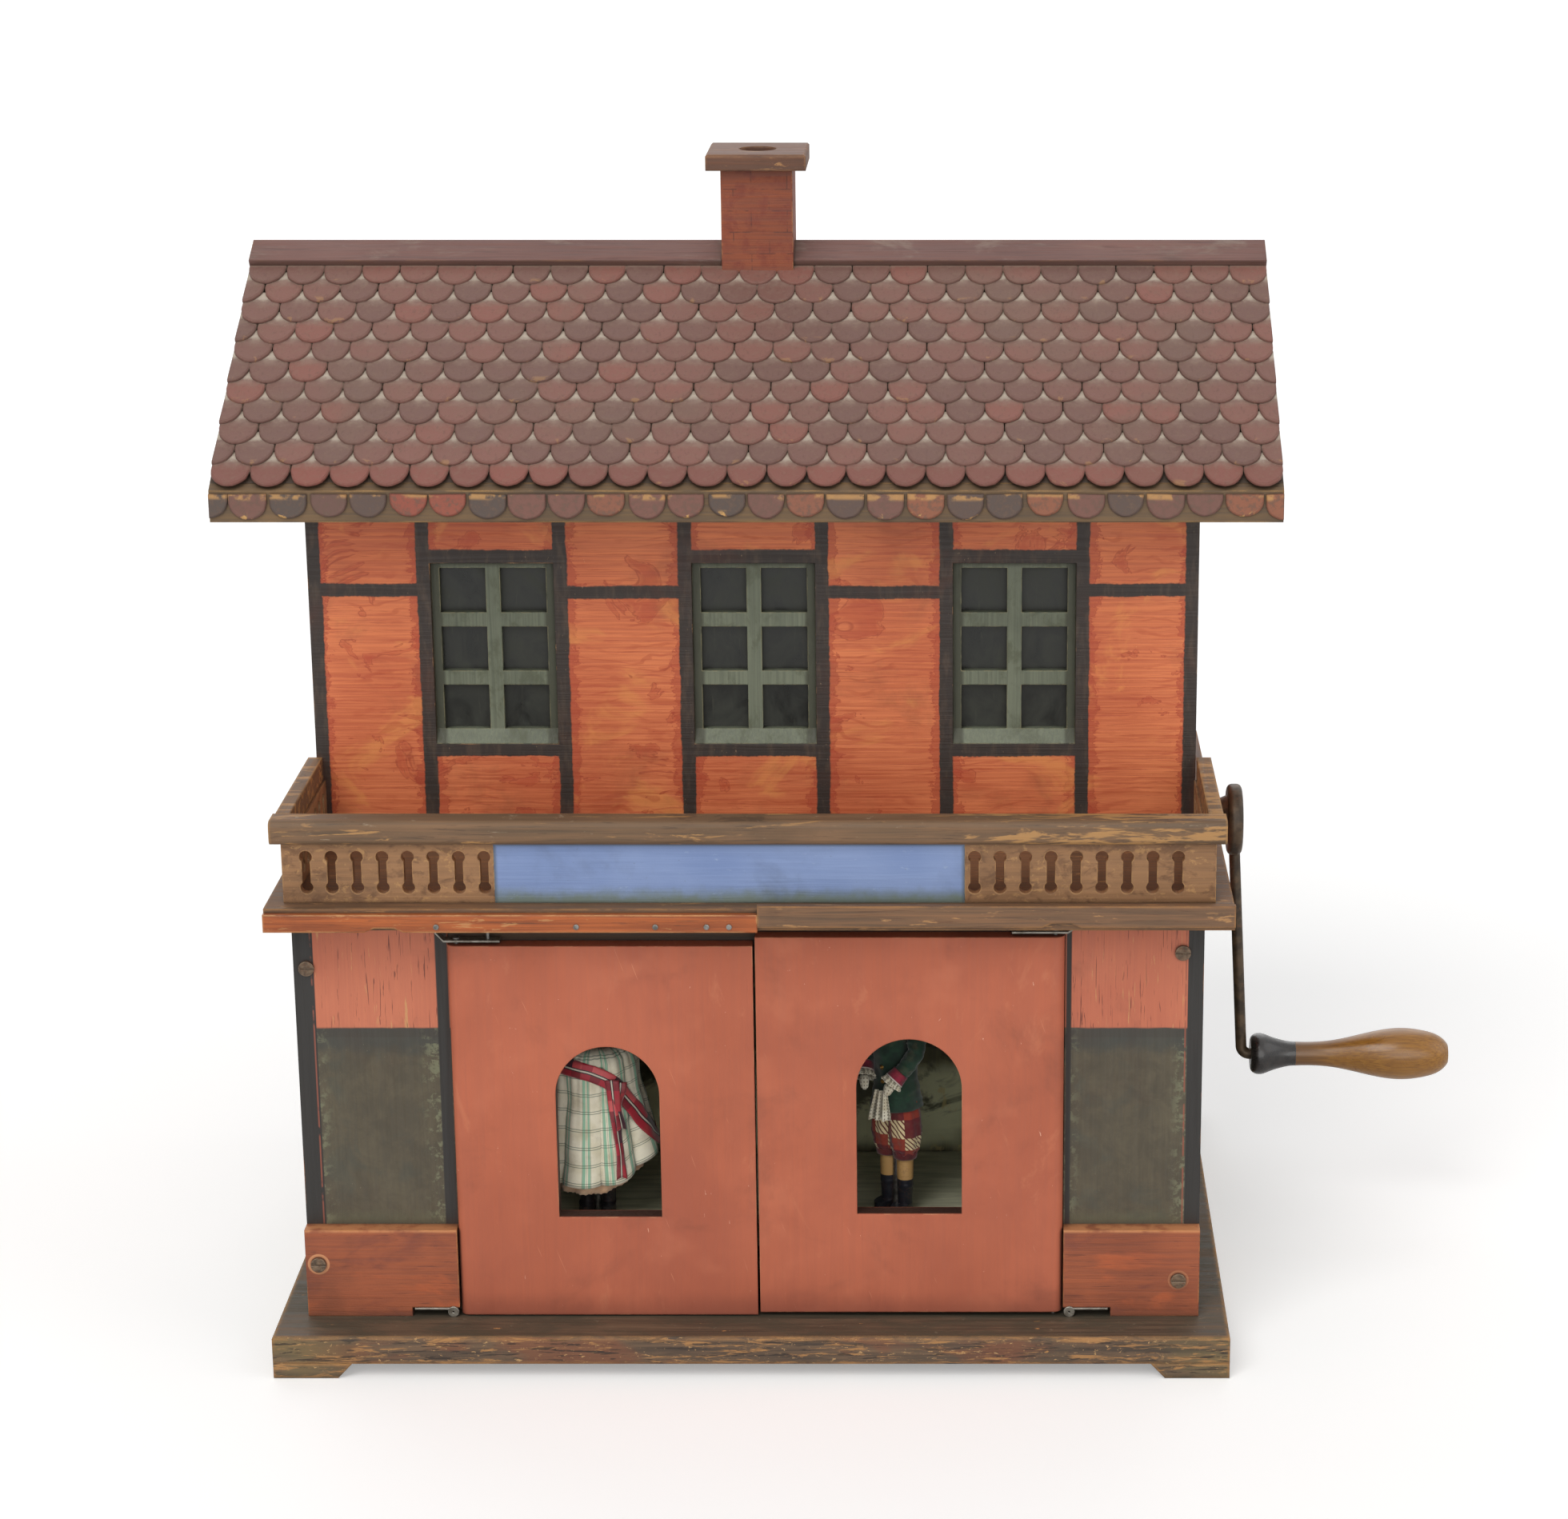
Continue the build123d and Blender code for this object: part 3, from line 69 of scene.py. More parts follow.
def tint(red, green, blue):
    """Linear colour of a screen colour given from 0 to 255."""
    return tuple((c / 255 / 12.92) if c / 255 <= 0.04045 else ((c / 255 + 0.055) / 1.055) ** 2.4
                 for c in (red, green, blue)) + (1.0,)


class Value:
    """What a node gives out, with the sums, masks and colours that can be made of it."""

    def __init__(self, nodes, socket):
        self.nodes = nodes
        self.socket = socket

    def __add__(self, other):
        return self.nodes.math("ADD", self, other)

    def __radd__(self, other):
        return self.nodes.math("ADD", other, self)

    def __sub__(self, other):
        return self.nodes.math("SUBTRACT", self, other)

    def __rsub__(self, other):
        return self.nodes.math("SUBTRACT", other, self)

    def __mul__(self, other):
        return self.nodes.math("MULTIPLY", self, other)

    def __truediv__(self, number):
        return self * (1 / number)

    def __mod__(self, other):
        return self.nodes.math("FLOORED_MODULO", self, other)

    def __or__(self, other):
        return self.nodes.math("MAXIMUM", self, other)

    def __and__(self, other):
        return self.nodes.math("MINIMUM", self, other)

    def __abs__(self):
        return self.nodes.math("ABSOLUTE", self)

    def floor(self):
        return self.nodes.math("FLOOR", self)

    def sine(self):
        return self.nodes.math("SINE", self)

    def root(self):
        return self.nodes.math("SQRT", self)

    def ramp(self, low, high, start=0.0, end=1.0):
        """Smooth rise from start to end as this goes from low to high."""
        return self.nodes.add("ShaderNodeMapRange", {0: self, 1: low, 2: high, 3: start, 4: end},
                              interpolation_type="SMOOTHSTEP")

    def within(self, low, high, soft=0.3):
        """1 between low and high and 0 outside, with soft ends."""
        return self.ramp(low - soft, low + soft) * self.ramp(high - soft, high + soft, 1.0, 0.0)

    def between(self, first, second, blend="MIX"):
        """Colour that goes from the first to the second as this goes from 0 to 1."""
        return self.nodes.add("ShaderNodeMix", {0: self, 6: first, 7: second}, 2,
                              data_type="RGBA", blend_type=blend)

    def over(self, share, colour, blend="MIX"):
        """This coat with a share of a colour laid over it."""
        return share.between(self, colour, blend)

    def blot(self, colour, low, high, share, *shape, where=None, **more):
        """This coat with a share of a colour where noise of a shape goes from low to high."""
        mask = self.nodes.noise(*shape, **more).ramp(low, high, 0.0, share)
        return self.over(mask if where is None else mask * where, colour)


class Nodes:
    """A node tree that starts empty."""

    def __init__(self, tree):
        self.tree = tree
        tree.nodes.clear()

    def add(self, kind, values=(), out=0, **settings):
        """A node with its settings, its inputs by name or number, and one of its outputs."""
        node = self.tree.nodes.new(kind)
        for key, value in settings.items():
            setattr(node, key, value)
        for key, value in dict(values).items():
            self.give(node.inputs[key], value)
        return Value(self, node.outputs[out])

    def give(self, socket, value):
        """Link a value to an input, or set it; three numbers for a colour are a screen colour."""
        if isinstance(value, Value):
            self.tree.links.new(value.socket, socket)
        elif socket.type == "RGBA" and len(value) == 3:
            socket.default_value = tint(*value)
        else:
            socket.default_value = value

    def end(self, kind, value):
        """An output node that shows a value."""
        self.give(self.tree.nodes.new(kind).inputs[0], value)

    def math(self, operation, a, b=0.0):
        return self.add("ShaderNodeMath", {0: a, 1: b, 2: 0.0}, operation=operation)


class Paint(Nodes):
    """One material, whose x, y and z are the house millimetres of the place that is painted."""

    def __init__(self, name):
        self.name = name
        self.material = bpy.data.materials.new(name)
        self.material.use_nodes = True
        super().__init__(self.material.node_tree)
        self.shader = self.tree.nodes.new("ShaderNodeBsdfPrincipled")
        self.end("ShaderNodeOutputMaterial", Value(self, self.shader.outputs[0]))
        metres = self.add("ShaderNodeTexCoord", out="Object")
        scaled = self.vector("MULTIPLY", metres, (1 / MM, 1 / MM, 1 / MM))
        self.place = self.vector("SUBTRACT", scaled, (HOUSE_X, HOUSE_Y, 0.0))
        self.x, self.y, self.z = self.split(self.place)
        self.rounded = None

    def vector(self, operation, a, b):
        return self.add("ShaderNodeVectorMath", {0: a, 1: b}, operation=operation)

    def split(self, vector):
        return [self.add("ShaderNodeSeparateXYZ", {0: vector}, axis) for axis in (0, 1, 2)]

    def noise(self, size, detail=3.0, rough=0.55, warp=0.0, stretch=(1, 1, 1), shift=0.0):
        """Noise from 0 to 1 with features of a size in millimetres, made longer by the stretch."""
        place = self.vector("MULTIPLY", self.place, tuple(1.0 / (size * s) for s in stretch))
        if shift:
            place = self.vector("ADD", place, (shift, shift * 0.7, -shift))
        return self.add("ShaderNodeTexNoise", {"Vector": place, "Scale": 1.0, "Detail": detail,
                                               "Roughness": rough, "Distortion": warp})

    def cracks(self, size):
        """Distance to the nearest crack between cells of a size in millimetres."""
        place = self.vector("MULTIPLY", self.place, (1.0 / size,) * 3)
        return self.add("ShaderNodeTexVoronoi", {"Vector": place, "Scale": 1.0}, "Distance",
                        feature="DISTANCE_TO_EDGE")

    def edges(self, radius):
        """How sharply the surface turns within a radius: 0 on a flat and 1 on an edge."""
        self.rounded = self.add("ShaderNodeBevel", {"Radius": radius * MM}, samples=4)
        true = self.add("ShaderNodeNewGeometry", out="Normal")
        along = self.add("ShaderNodeVectorMath", {0: self.rounded, 1: true}, 1, operation="DOT_PRODUCT")
        return along.ramp(0.995, 0.86)

    def corners(self, reach):
        """How closed in the surface is within a reach: 0 in the open and 1 in a corner."""
        return 1 - self.add("ShaderNodeAmbientOcclusion", {"Distance": reach * MM}, "AO", samples=6)

    def grain(self, axis, fine, reach, warp=0.6, shift=0.0):
        """Streaks of wood grain that run along one axis."""
        return self.noise(fine, 4.0, 0.6, warp, longer(axis, reach / fine), shift)

    def finish(self, colour, rough, height=None, strength=0.4, depth=0.15, **more):
        """Join the colour, roughness and bump to the shader, set its other inputs and keep it."""
        for name, value in {"Base_Color": colour, "Roughness": rough, **more}.items():
            self.give(self.shader.inputs[name.replace("_", " ")], value)
        if height is not None:
            relief = {"Height": height, "Strength": strength, "Distance": depth * MM}
            if self.rounded:
                relief["Normal"] = self.rounded
            self.give(self.shader.inputs["Normal"], self.add("ShaderNodeBump", relief))
        made[self.name] = self.material


def longer(axis, times):
    """Stretch along one axis."""
    return tuple(times if letter == axis else 1.0 for letter in "XYZ")


# ---------------------------------------------------------------------------------------------
# Camera, light and floor
# ---------------------------------------------------------------------------------------------

IMAGE_WIDTH = 1960
FOCAL_PIXELS = 4700
CENTRE_PIXEL = 1200
PITCH = 16.4
SENSOR = 36.0
AMBIENT = 0.4
FLOOR_GLOW = 0.3
FLOOR_DROP = 0.0002
SUNS = (
    # name, azimuth (0 in front, 90 on the right), elevation, strength, spread, colour
    ("key_sun", -28, 46, 1.15, 34, (1.0, 0.98, 0.95)),
    ("front_sun", 10, 15, 0.74, 46, (1.0, 0.985, 0.96)),
    ("side_sun", 78, 32, 0.36, 50, (1.0, 1.0, 1.0)),
    ("back_sun", 190, 40, 0.6, 60, (1.0, 1.0, 1.0)),
)

camera_data = bpy.data.cameras.new("camera")
camera_data.sensor_width = SENSOR
camera_data.sensor_fit = "HORIZONTAL"
camera_data.lens = FOCAL_PIXELS * SENSOR / IMAGE_WIDTH
camera_data.shift_x = (IMAGE_WIDTH / 2 - CENTRE_PIXEL) / IMAGE_WIDTH
camera_data.clip_start = 0.05
camera_data.clip_end = 40.0
camera = bpy.data.objects.new("camera", camera_data)
camera.location = at(87.0, -1454.0, 691.0)
camera.rotation_euler = (math.radians(90.0 - PITCH), 0.0, 0.0)
scene.collection.objects.link(camera)
scene.camera = camera
scene.view_settings.view_transform = "Standard"

for name, azimuth, elevation, strength, spread, tone in SUNS:
    data = bpy.data.lights.new(name, "SUN")
    data.energy = strength
    data.angle = math.radians(spread)
    data.color = tone
    light = bpy.data.objects.new(name, data)
    turn, rise = math.radians(azimuth), math.radians(elevation)
    away = Vector((math.sin(turn) * math.cos(rise), -math.cos(turn) * math.cos(rise), math.sin(rise)))
    light.rotation_euler = away.to_track_quat("Z", "Y").to_euler()
    scene.collection.objects.link(light)

world = bpy.data.worlds.new("studio")
scene.world = world
world.use_nodes = True
sky = Nodes(world.node_tree)
ambient, seen = (sky.add("ShaderNodeBackground", {"Color": WHITE, "Strength": strength})
                 for strength in (AMBIENT, 1.0))
ways = (sky.add("ShaderNodeLightPath", out=f"Is {way} Ray") for way in ("Camera", "Glossy", "Transmission"))
sky.end("ShaderNodeOutputWorld", sky.add("ShaderNodeMixShader", {0: reduce(or_, ways), 1: ambient, 2: seen}))

floor_mesh = bpy.data.meshes.new("floor")
floor_mesh.from_pydata([(-12, -8, 0), (12, -8, 0), (12, 12, 0), (-12, 12, 0)], [], [(0, 1, 2, 3)])
floor = bpy.data.objects.new("floor", floor_mesh)
floor.location.z = -FLOOR_DROP
scene.collection.objects.link(floor)
paper = Paint("floor_paper")
paper.finish((0.86, 0.86, 0.86, 1.0), 0.9, Specular_IOR_Level=0.1, Emission_Color=WHITE,
             Emission_Strength=paper.add("ShaderNodeLightPath", out="Is Camera Ray") * FLOOR_GLOW)
floor.data.materials.append(made["floor_paper"])


# ---------------------------------------------------------------------------------------------
# Worn and painted boards
# ---------------------------------------------------------------------------------------------

def worn(paint, coat, bare, wear, edge, chips, chip_size, axis):
    """Rub a coat through to the bare wood along edges and in scattered chips; gives colour and mask."""
    patch = paint.noise(chip_size, 5.0, 0.62, 0.3, longer(axis, 3.0), 7.3)
    rim = paint.edges(edge) * patch.ramp(0.62 - wear * 0.4, 0.72 - wear * 0.2)
    mask = rim | patch.ramp(chips, chips + 0.02)
    return coat.over(mask, bare), mask


def shaded_and_grimy(paint, coat, dirt_and_shade, reach, amount):
    """Paint shade into corners as darker colour, and add faint blotches of dirt."""
    # Painted shade: darker colour where the surface is closed in, found by ambient occlusion.
    corner = paint.corners(reach).ramp(0.15, 0.75, 0.0, amount)
    blotch = paint.noise(38.0, 5.0, 0.6, 0.4, shift=3.1).ramp(0.52, 0.78, 0.0, 0.35)
    return coat.over(corner | blotch, dirt_and_shade)


def streaked(paint, light, dark, axis, strength, fine, reach):
    """Two tones mixed along the grain, with slow changes of tone over the board."""
    streak = paint.grain(axis, fine, reach).ramp(0.32, 0.68)
    slow = paint.noise(55.0, 3.0, 0.5, 0.2, shift=1.7).ramp(0.3, 0.7)
    return (streak * strength + slow * (1.0 - strength)).between(dark, light), streak


def board_paint(name, light, dark, bare, axis, over=None, wear=0.5, chips=0.74, edge=1.2, rough=0.62,
                dirt_and_shade=(45, 36, 28), reach=8.0, corner_shade_amount=0.75, fine=1.6, strength=0.5, chip_size=9.0,
                grain_length=60.0):
    """Worn painted or stained board; over paints further marks between the coat and the wear."""
    paint = Paint(name)
    coat, streak = streaked(paint, light, dark, axis, strength, fine, grain_length)
    if over:
        coat = over(paint, coat)
    coat, rubbed = worn(paint, coat, bare, wear, edge, chips, chip_size, axis)
    # Painted shade in the corners, with faint blotches of dirt over the board.
    coat = shaded_and_grimy(paint, coat, dirt_and_shade, reach, corner_shade_amount)
    height = streak * 0.5 + (rubbed * -0.7 + paint.noise(0.7, 2.0, 0.5) * 0.25)
    roughness = streak.ramp(0.0, 1.0, rough - 0.08, rough + 0.08) + rubbed * 0.12
    paint.finish(coat, roughness, height, 0.45, 0.22)


def base_marks(paint, coat):
    """Base board: worn orange streaks along its edges and black-green grime on its top."""
    top = paint.z.ramp(18.2, 18.4)
    darkening = paint.noise(14.0, 5.0, 0.68, 0.4, (2.2, 1, 1), 4.0).ramp(0.42, 0.62, 0.25, 0.85)
    coat = coat.over(top * darkening, (72, 66, 52))
    front = 1 - top
    rust = paint.noise(20.0, 4.0, 0.6, 0.3, (3, 3, 1), 2.0)
    coat = coat.over(rust.ramp(0.48, 0.6, 0.0, 0.6) * front, (122, 72, 48))
    ends = abs(paint.x).ramp(150.0, 196.0, 0.0, 0.7)
    coat = coat.over(ends * rust.ramp(0.35, 0.6) * front, (120, 108, 70))
    streak = paint.noise(2.3, 5.0, 0.72, 0.5, (9, 9, 1), 9.0)
    worn_front = streak.ramp(0.54, 0.6, 0.0, 0.8) * front
    coat = coat.over(worn_front, (178, 130, 78))
    fleck = paint.noise(1.2, 4.0, 0.7, 0.3, (2.5, 2.5, 1), 29.0)
    coat = coat.over(fleck.ramp(0.62, 0.67, 0.0, 0.85) * front, (196, 156, 104))
    scuff = fleck.ramp(0.64, 0.7, 0.0, 0.5) * top
    coat = coat.over(scuff, (128, 118, 98))
    return coat.blot((46, 36, 30), 0.56, 0.61, 0.85, 1.6, 4.0, 0.66, 0.4, (11, 11, 1), 19.0, where=front)


def ring_mark(paint, across, up, inner, outer):
    """Thin ring on a front face round a point."""
    side, rise = paint.x - across, paint.z - up
    return (side * side + rise * rise).root().within(inner, outer, 0.25)


def plinth_marks(paint, coat):
    """Plinths: dark grain lines, a pale rubbed top edge and pale rings round the screws."""
    cloud = paint.noise(17.0, 4.0, 0.62, 0.5, (2.4, 1, 1), 16.0)
    coat = coat.over(cloud.ramp(0.5, 0.68, 0.0, 0.7), (116, 62, 50))
    coat = coat.over(cloud.ramp(0.44, 0.3, 0.0, 0.6), (190, 96, 54))
    coat = coat.blot((92, 50, 38), 0.6, 0.68, 0.5, 1.0, 4.0, 0.66, 0.5, (14, 1, 1), 6.0)
    top = paint.z.ramp(55.9, 57.2) * paint.noise(9.0).ramp(0.35, 0.55, 0.2, 0.8)
    coat = coat.over(top, (206, 140, 92))
    ring = ring_mark(paint, -182.1, 42.2, 3.4, 4.6) | ring_mark(paint, 178.7, 35.0, 3.4, 4.4) * 0.4
    return coat.over(ring * 0.75, (222, 158, 112))


def door_marks(paint, coat):
    """Doors: soft clouds, fine slanting scratches, nicks, a darker foot and painted shade on the reveals of
    the arches.
    """
    coat = coat.blot((160, 84, 62), 0.46, 0.72, 0.5, 46.0, 4.0, 0.6, 0.5, (1, 1, 1.5), 8.0)
    coat = coat.blot((202, 118, 86), 0.55, 0.75, 0.4, 30.0, 3.0, 0.5, shift=3.0)
    slant = paint.x * 0.94 + paint.z * 0.34
    along = paint.z * 0.94 + paint.x * -0.34
    place = paint.add("ShaderNodeCombineXYZ", {0: slant * 1.1, 1: along * 0.035})
    scratch = paint.add("ShaderNodeTexNoise", {"Vector": place, "Scale": 1.0, "Detail": 2.0,
                                               "Roughness": 0.5})
    coat = coat.over(scratch.ramp(0.735, 0.76, 0.0, 0.5), (218, 146, 112))
    coat = coat.blot((232, 184, 160), 0.735, 0.76, 0.7, 1.5, 3.0, 0.62, 0.6, (1, 1, 2.2), 41.0)
    coat = coat.blot((206, 128, 92), 0.6, 0.72, 0.3, 24.0, 5.0, 0.7, 0.7, (1, 1, 2.0), 31.0)
    foot = (paint.z + paint.noise(9.0) * 6.0).ramp(24.0, 34.0, 0.45, 0.0)
    coat = coat.over(foot, (120, 62, 48))
    # Painted shade: the reveals inside the arches are coloured nearly black so that they read as shade, not
    # as lit wood.
    left_arch = paint.x.within(-83.0, -35.0, 0.1)
    right_arch = paint.x.within(41.5, 90.3, 0.1)
    in_arch = (left_arch | right_arch) * paint.z.within(62.0, 145.0, 0.1)
    reveal = in_arch * paint.y.within(0.7, 7.2, 0.2)
    return coat.over(reveal * 0.94, (30, 21, 17))


def backdrop_marks(paint, coat):
    """Painted scenery behind the dancers: pale hills low down and soft dark trees, all out of noise."""
    hill = paint.z + (paint.noise(36.0, 3.0, 0.5) - 0.5) * 34.0
    coat = coat.over(hill.within(52.0, 86.0, 6.0), (214, 216, 176))
    coat = coat.blot((50, 48, 30), 0.5, 0.6, 0.85, 24.0, 5.0, 0.66, 0.9, (1.5, 1, 1), 13.0)
    return coat.blot((206, 190, 128), 0.62, 0.7, 0.6, 11.0, 4.0, 0.6, 1.2, (1, 1, 1.5), 23.0)


def rail_marks(paint, coat):
    """Handrails: close dark grain, grey scuffs, and ochre wear towards the right end of the front rail."""
    coat = coat.blot((74, 56, 42), 0.56, 0.66, 0.65, 0.9, 4.0, 0.66, 0.5, (20, 20, 1), 6.0)
    coat = coat.blot((162, 146, 122), 0.64, 0.7, 0.55, 1.6, 4.0, 0.7, 0.3, (6, 6, 1), 11.0)
    bare = paint.noise(5.0, 5.0, 0.68, 0.4, (7, 1, 1), 15.0)
    near_end = paint.x.ramp(70.0, 150.0, 0.0, 0.12) | paint.x.ramp(-160.0, -184.0, 0.0, 0.08)
    bare = (bare + near_end).ramp(0.6, 0.66, 0.0, 0.8)
    return coat.over(bare, (186, 140, 86))


def fret_marks(paint, coat):
    """Fretwork: mottled brown with ochre rubs."""
    coat = coat.blot((104, 72, 48), 0.5, 0.64, 0.7, 7.0, 5.0, 0.68, 0.5, (1.6, 1, 1), 5.0)
    return coat.blot((190, 146, 94), 0.56, 0.66, 0.6, 3.4, 5.0, 0.7, 0.4, (1.4, 1, 1), 18.0)


def strip_marks(paint, coat):
    """Edge strips of the deck and the chimney cap: close grain and pale rubs."""
    coat = coat.blot((84, 54, 36), 0.56, 0.68, 0.6, 0.9, 4.0, 0.66, 0.5, (24, 1, 1), 8.0)
    return coat.blot((196, 146, 92), 0.6, 0.66, 0.6, 3.0, 5.0, 0.7, 0.4, (6, 1, 1), 28.0)


def back_marks(paint, coat):
    """Back panel: six upright planks of their own tone, with dark joints, water stains and nail rust."""
    across = (paint.x + 187.5) / 62.5
    plank = across.floor()
    pick = paint.add("ShaderNodeTexWhiteNoise", {1: plank}, noise_dimensions="1D")
    coat = coat.over(pick * 0.5, (122, 92, 64))
    place = across % 1.0 * 62.5
    joint = place.ramp(0.5, 0.9, 1.0, 0.0) | place.ramp(61.6, 62.0)
    coat = coat.blot((48, 36, 28), 0.54, 0.68, 0.6, 1.3, 4.0, 0.66, 0.6, (1, 1, 30), 8.0)
    stain = paint.noise(60.0, 3.0, 0.5, 0.3, (1, 1, 1.8), 12.0)
    coat = coat.over(stain.ramp(0.5, 0.62, 0.0, 0.5), (56, 42, 32))
    coat = coat.over(stain.within(0.6, 0.612, 0.006) * 0.4, (44, 33, 26))
    beside = abs(place - 31.25)
    rows = reduce(and_, (abs(paint.z - height) for height in (30.0, 190.0, 345.0)))
    off = beside - 18.0
    reach = (off * off + rows * rows).root()
    coat = coat.over(reach.ramp(1.6, 5.0, 0.7, 0.0), (78, 44, 28))
    coat = coat.over(reach.ramp(1.1, 1.4, 1.0, 0.0), (36, 30, 27))
    return coat.over(joint * 0.85, (28, 21, 17))


def ridge_marks(paint, coat):
    """Ridge boards: maroon grain, grey dust and a darker lower edge."""
    coat = coat.blot((76, 48, 44), 0.5, 0.68, 0.6, 1.2, 4.0, 0.66, 0.4, (22, 1, 1), 8.0)
    return coat.blot((138, 120, 108), 0.52, 0.68, 0.55, 16.0, 5.0, 0.68, 0.4, (2.5, 1, 1), 3.0)


def sash_marks(paint, coat):
    """Sashes: olive smears, and darker outer stiles that lie in the shade of the wall."""
    coat = coat.blot((86, 90, 70), 0.48, 0.66, 0.7, 8.0, 5.0, 0.68, 0.4, (1, 1, 1.6), 5.0)
    from_window = (paint.x + WINDOW_PITCH / 2) % WINDOW_PITCH - WINDOW_PITCH / 2
    off = abs(from_window)
    shade = off.ramp(20.8, 22.4, 0.0, 0.8)
    high = paint.z.ramp(321.0, 323.5, 0.0, 0.6)
    return coat.over(shade | high, (62, 62, 48))


board_paint("base_paint", (118, 94, 72), (66, 54, 44), (184, 134, 80), "X", base_marks, wear=0.85, chips=0.7,
            edge=2.4, chip_size=4.0, dirt_and_shade=(54, 52, 42), rough=0.66, fine=1.9, strength=0.75)
board_paint("plinth_stain", (172, 94, 60), (122, 64, 43), (214, 146, 88), "X", plinth_marks, chips=0.8,
            edge=1.0, strength=0.35)
board_paint("orange_pine", (188, 100, 46), (136, 68, 32), (226, 172, 112), "X", strip_marks, wear=0.7,
            chips=0.78, edge=1.3, dirt_and_shade=(74, 46, 30), rough=0.4, strength=0.7, chip_size=5.0)
for middle, axis in (("", "X"), ("side_", "Y")):
    board_paint(f"deck_{middle}paint", (138, 100, 70), (88, 68, 50), (184, 132, 78), axis, strip_marks,
                wear=0.7, chips=0.72, edge=1.6, chip_size=6.0, strength=0.7)
    board_paint(f"rail_{middle}paint", (132, 100, 72), (94, 74, 54), (198, 150, 92), axis, rail_marks,
                wear=0.8, edge=1.8, chip_size=6.0, dirt_and_shade=(62, 48, 34), strength=0.65)
    board_paint(f"fret_{middle}paint", (166, 124, 86), (132, 96, 64), (204, 158, 106), axis, fret_marks,
                wear=0.6, chips=0.76, edge=0.9, dirt_and_shade=(58, 40, 28), reach=4.0, corner_shade_amount=0.9, chip_size=5.0)
board_paint("back_paint", (98, 74, 54), (66, 50, 38), (150, 114, 78), "Z", back_marks, wear=0.6, chips=0.76,
            edge=1.6, chip_size=7.0, strength=0.6)
board_paint("dark_wood", (92, 70, 52), (56, 44, 34), (134, 100, 68), "X", chips=0.78, strength=0.7)
board_paint("bare_pine", (196, 158, 110), (168, 128, 84), (206, 170, 120), "X", wear=0.2, chips=0.9,
            dirt_and_shade=(112, 86, 58))
board_paint("beech", (190, 150, 104), (166, 124, 82), (204, 166, 120), "X", wear=0.2, chips=0.9, fine=1.0,
            dirt_and_shade=(92, 66, 44), rough=0.5)
board_paint("sash_paint", (128, 134, 114), (92, 98, 82), (160, 152, 116), "Z", sash_marks, wear=0.6,
            edge=0.8, chip_size=3.4, dirt_and_shade=(44, 46, 34), reach=5.0, corner_shade_amount=0.95, fine=1.1, strength=0.6)
board_paint("door_paint", (188, 103, 74), (170, 90, 63), (216, 152, 112), "Z", door_marks, wear=0.35,
            chips=0.83, edge=0.8, dirt_and_shade=(84, 50, 40), reach=4.0, strength=0.3, fine=2.4)
board_paint("roof_paint", (122, 86, 78), (96, 64, 58), (150, 106, 76), "X", ridge_marks, wear=0.4, chips=0.8,
            edge=1.4, dirt_and_shade=(84, 72, 62))
board_paint("fascia_paint", (124, 98, 68), (80, 64, 48), (196, 152, 90), "X", chips=0.76, dirt_and_shade=(58, 46, 34))
board_paint("stage_paint", (206, 206, 178), (140, 142, 116), (190, 182, 148), "X", wear=0.3, chips=0.72,
            edge=1.0, dirt_and_shade=(72, 74, 60), corner_shade_amount=0.3, fine=3.2, grain_length=26.0)
board_paint("backdrop_paint", (116, 112, 76), (56, 54, 36), (128, 112, 78), "Z", backdrop_marks, wear=0.3,
            chips=0.84, dirt_and_shade=(40, 36, 26))


# ---------------------------------------------------------------------------------------------
# Painted timber lines of the half-timbered walls, the sign and the chimney
# ---------------------------------------------------------------------------------------------

BLACK_BROWN = (50, 41, 36)
BRICK_ROW = 9.2
BRICK_LENGTH = 15.4
CHIMNEY_FOOT = 434.0


def painted_lines(paint, across, up, posts, rails=()):
    """Mask of hand-painted timbers, and the distance to the nearest post.

    Posts are (place across, half width, lowest, highest); rails are (height, half width, from, to).
    """
    waver = (paint.noise(16.0, 3.0, 0.6) - 0.5) * 1.6
    ragged = (paint.noise(1.3, 2.0, 0.6) - 0.5) * 0.9
    shake = waver + ragged
    side, height = across + shake, up + shake
    masks, distances = [], []
    for place, half, low, high in posts:
        gap = abs(side - place)
        line = gap.ramp(half - 0.35, half + 0.35, 1.0, 0.0)
        masks.append(line * height.within(low, high))
        distances.append(gap)
    for place, half, low, high in rails:
        gap = abs(height - place)
        line = gap.ramp(half - 0.35, half + 0.35, 1.0, 0.0)
        masks.append(line * side.within(low, high))
    return reduce(or_, masks), reduce(and_, distances)


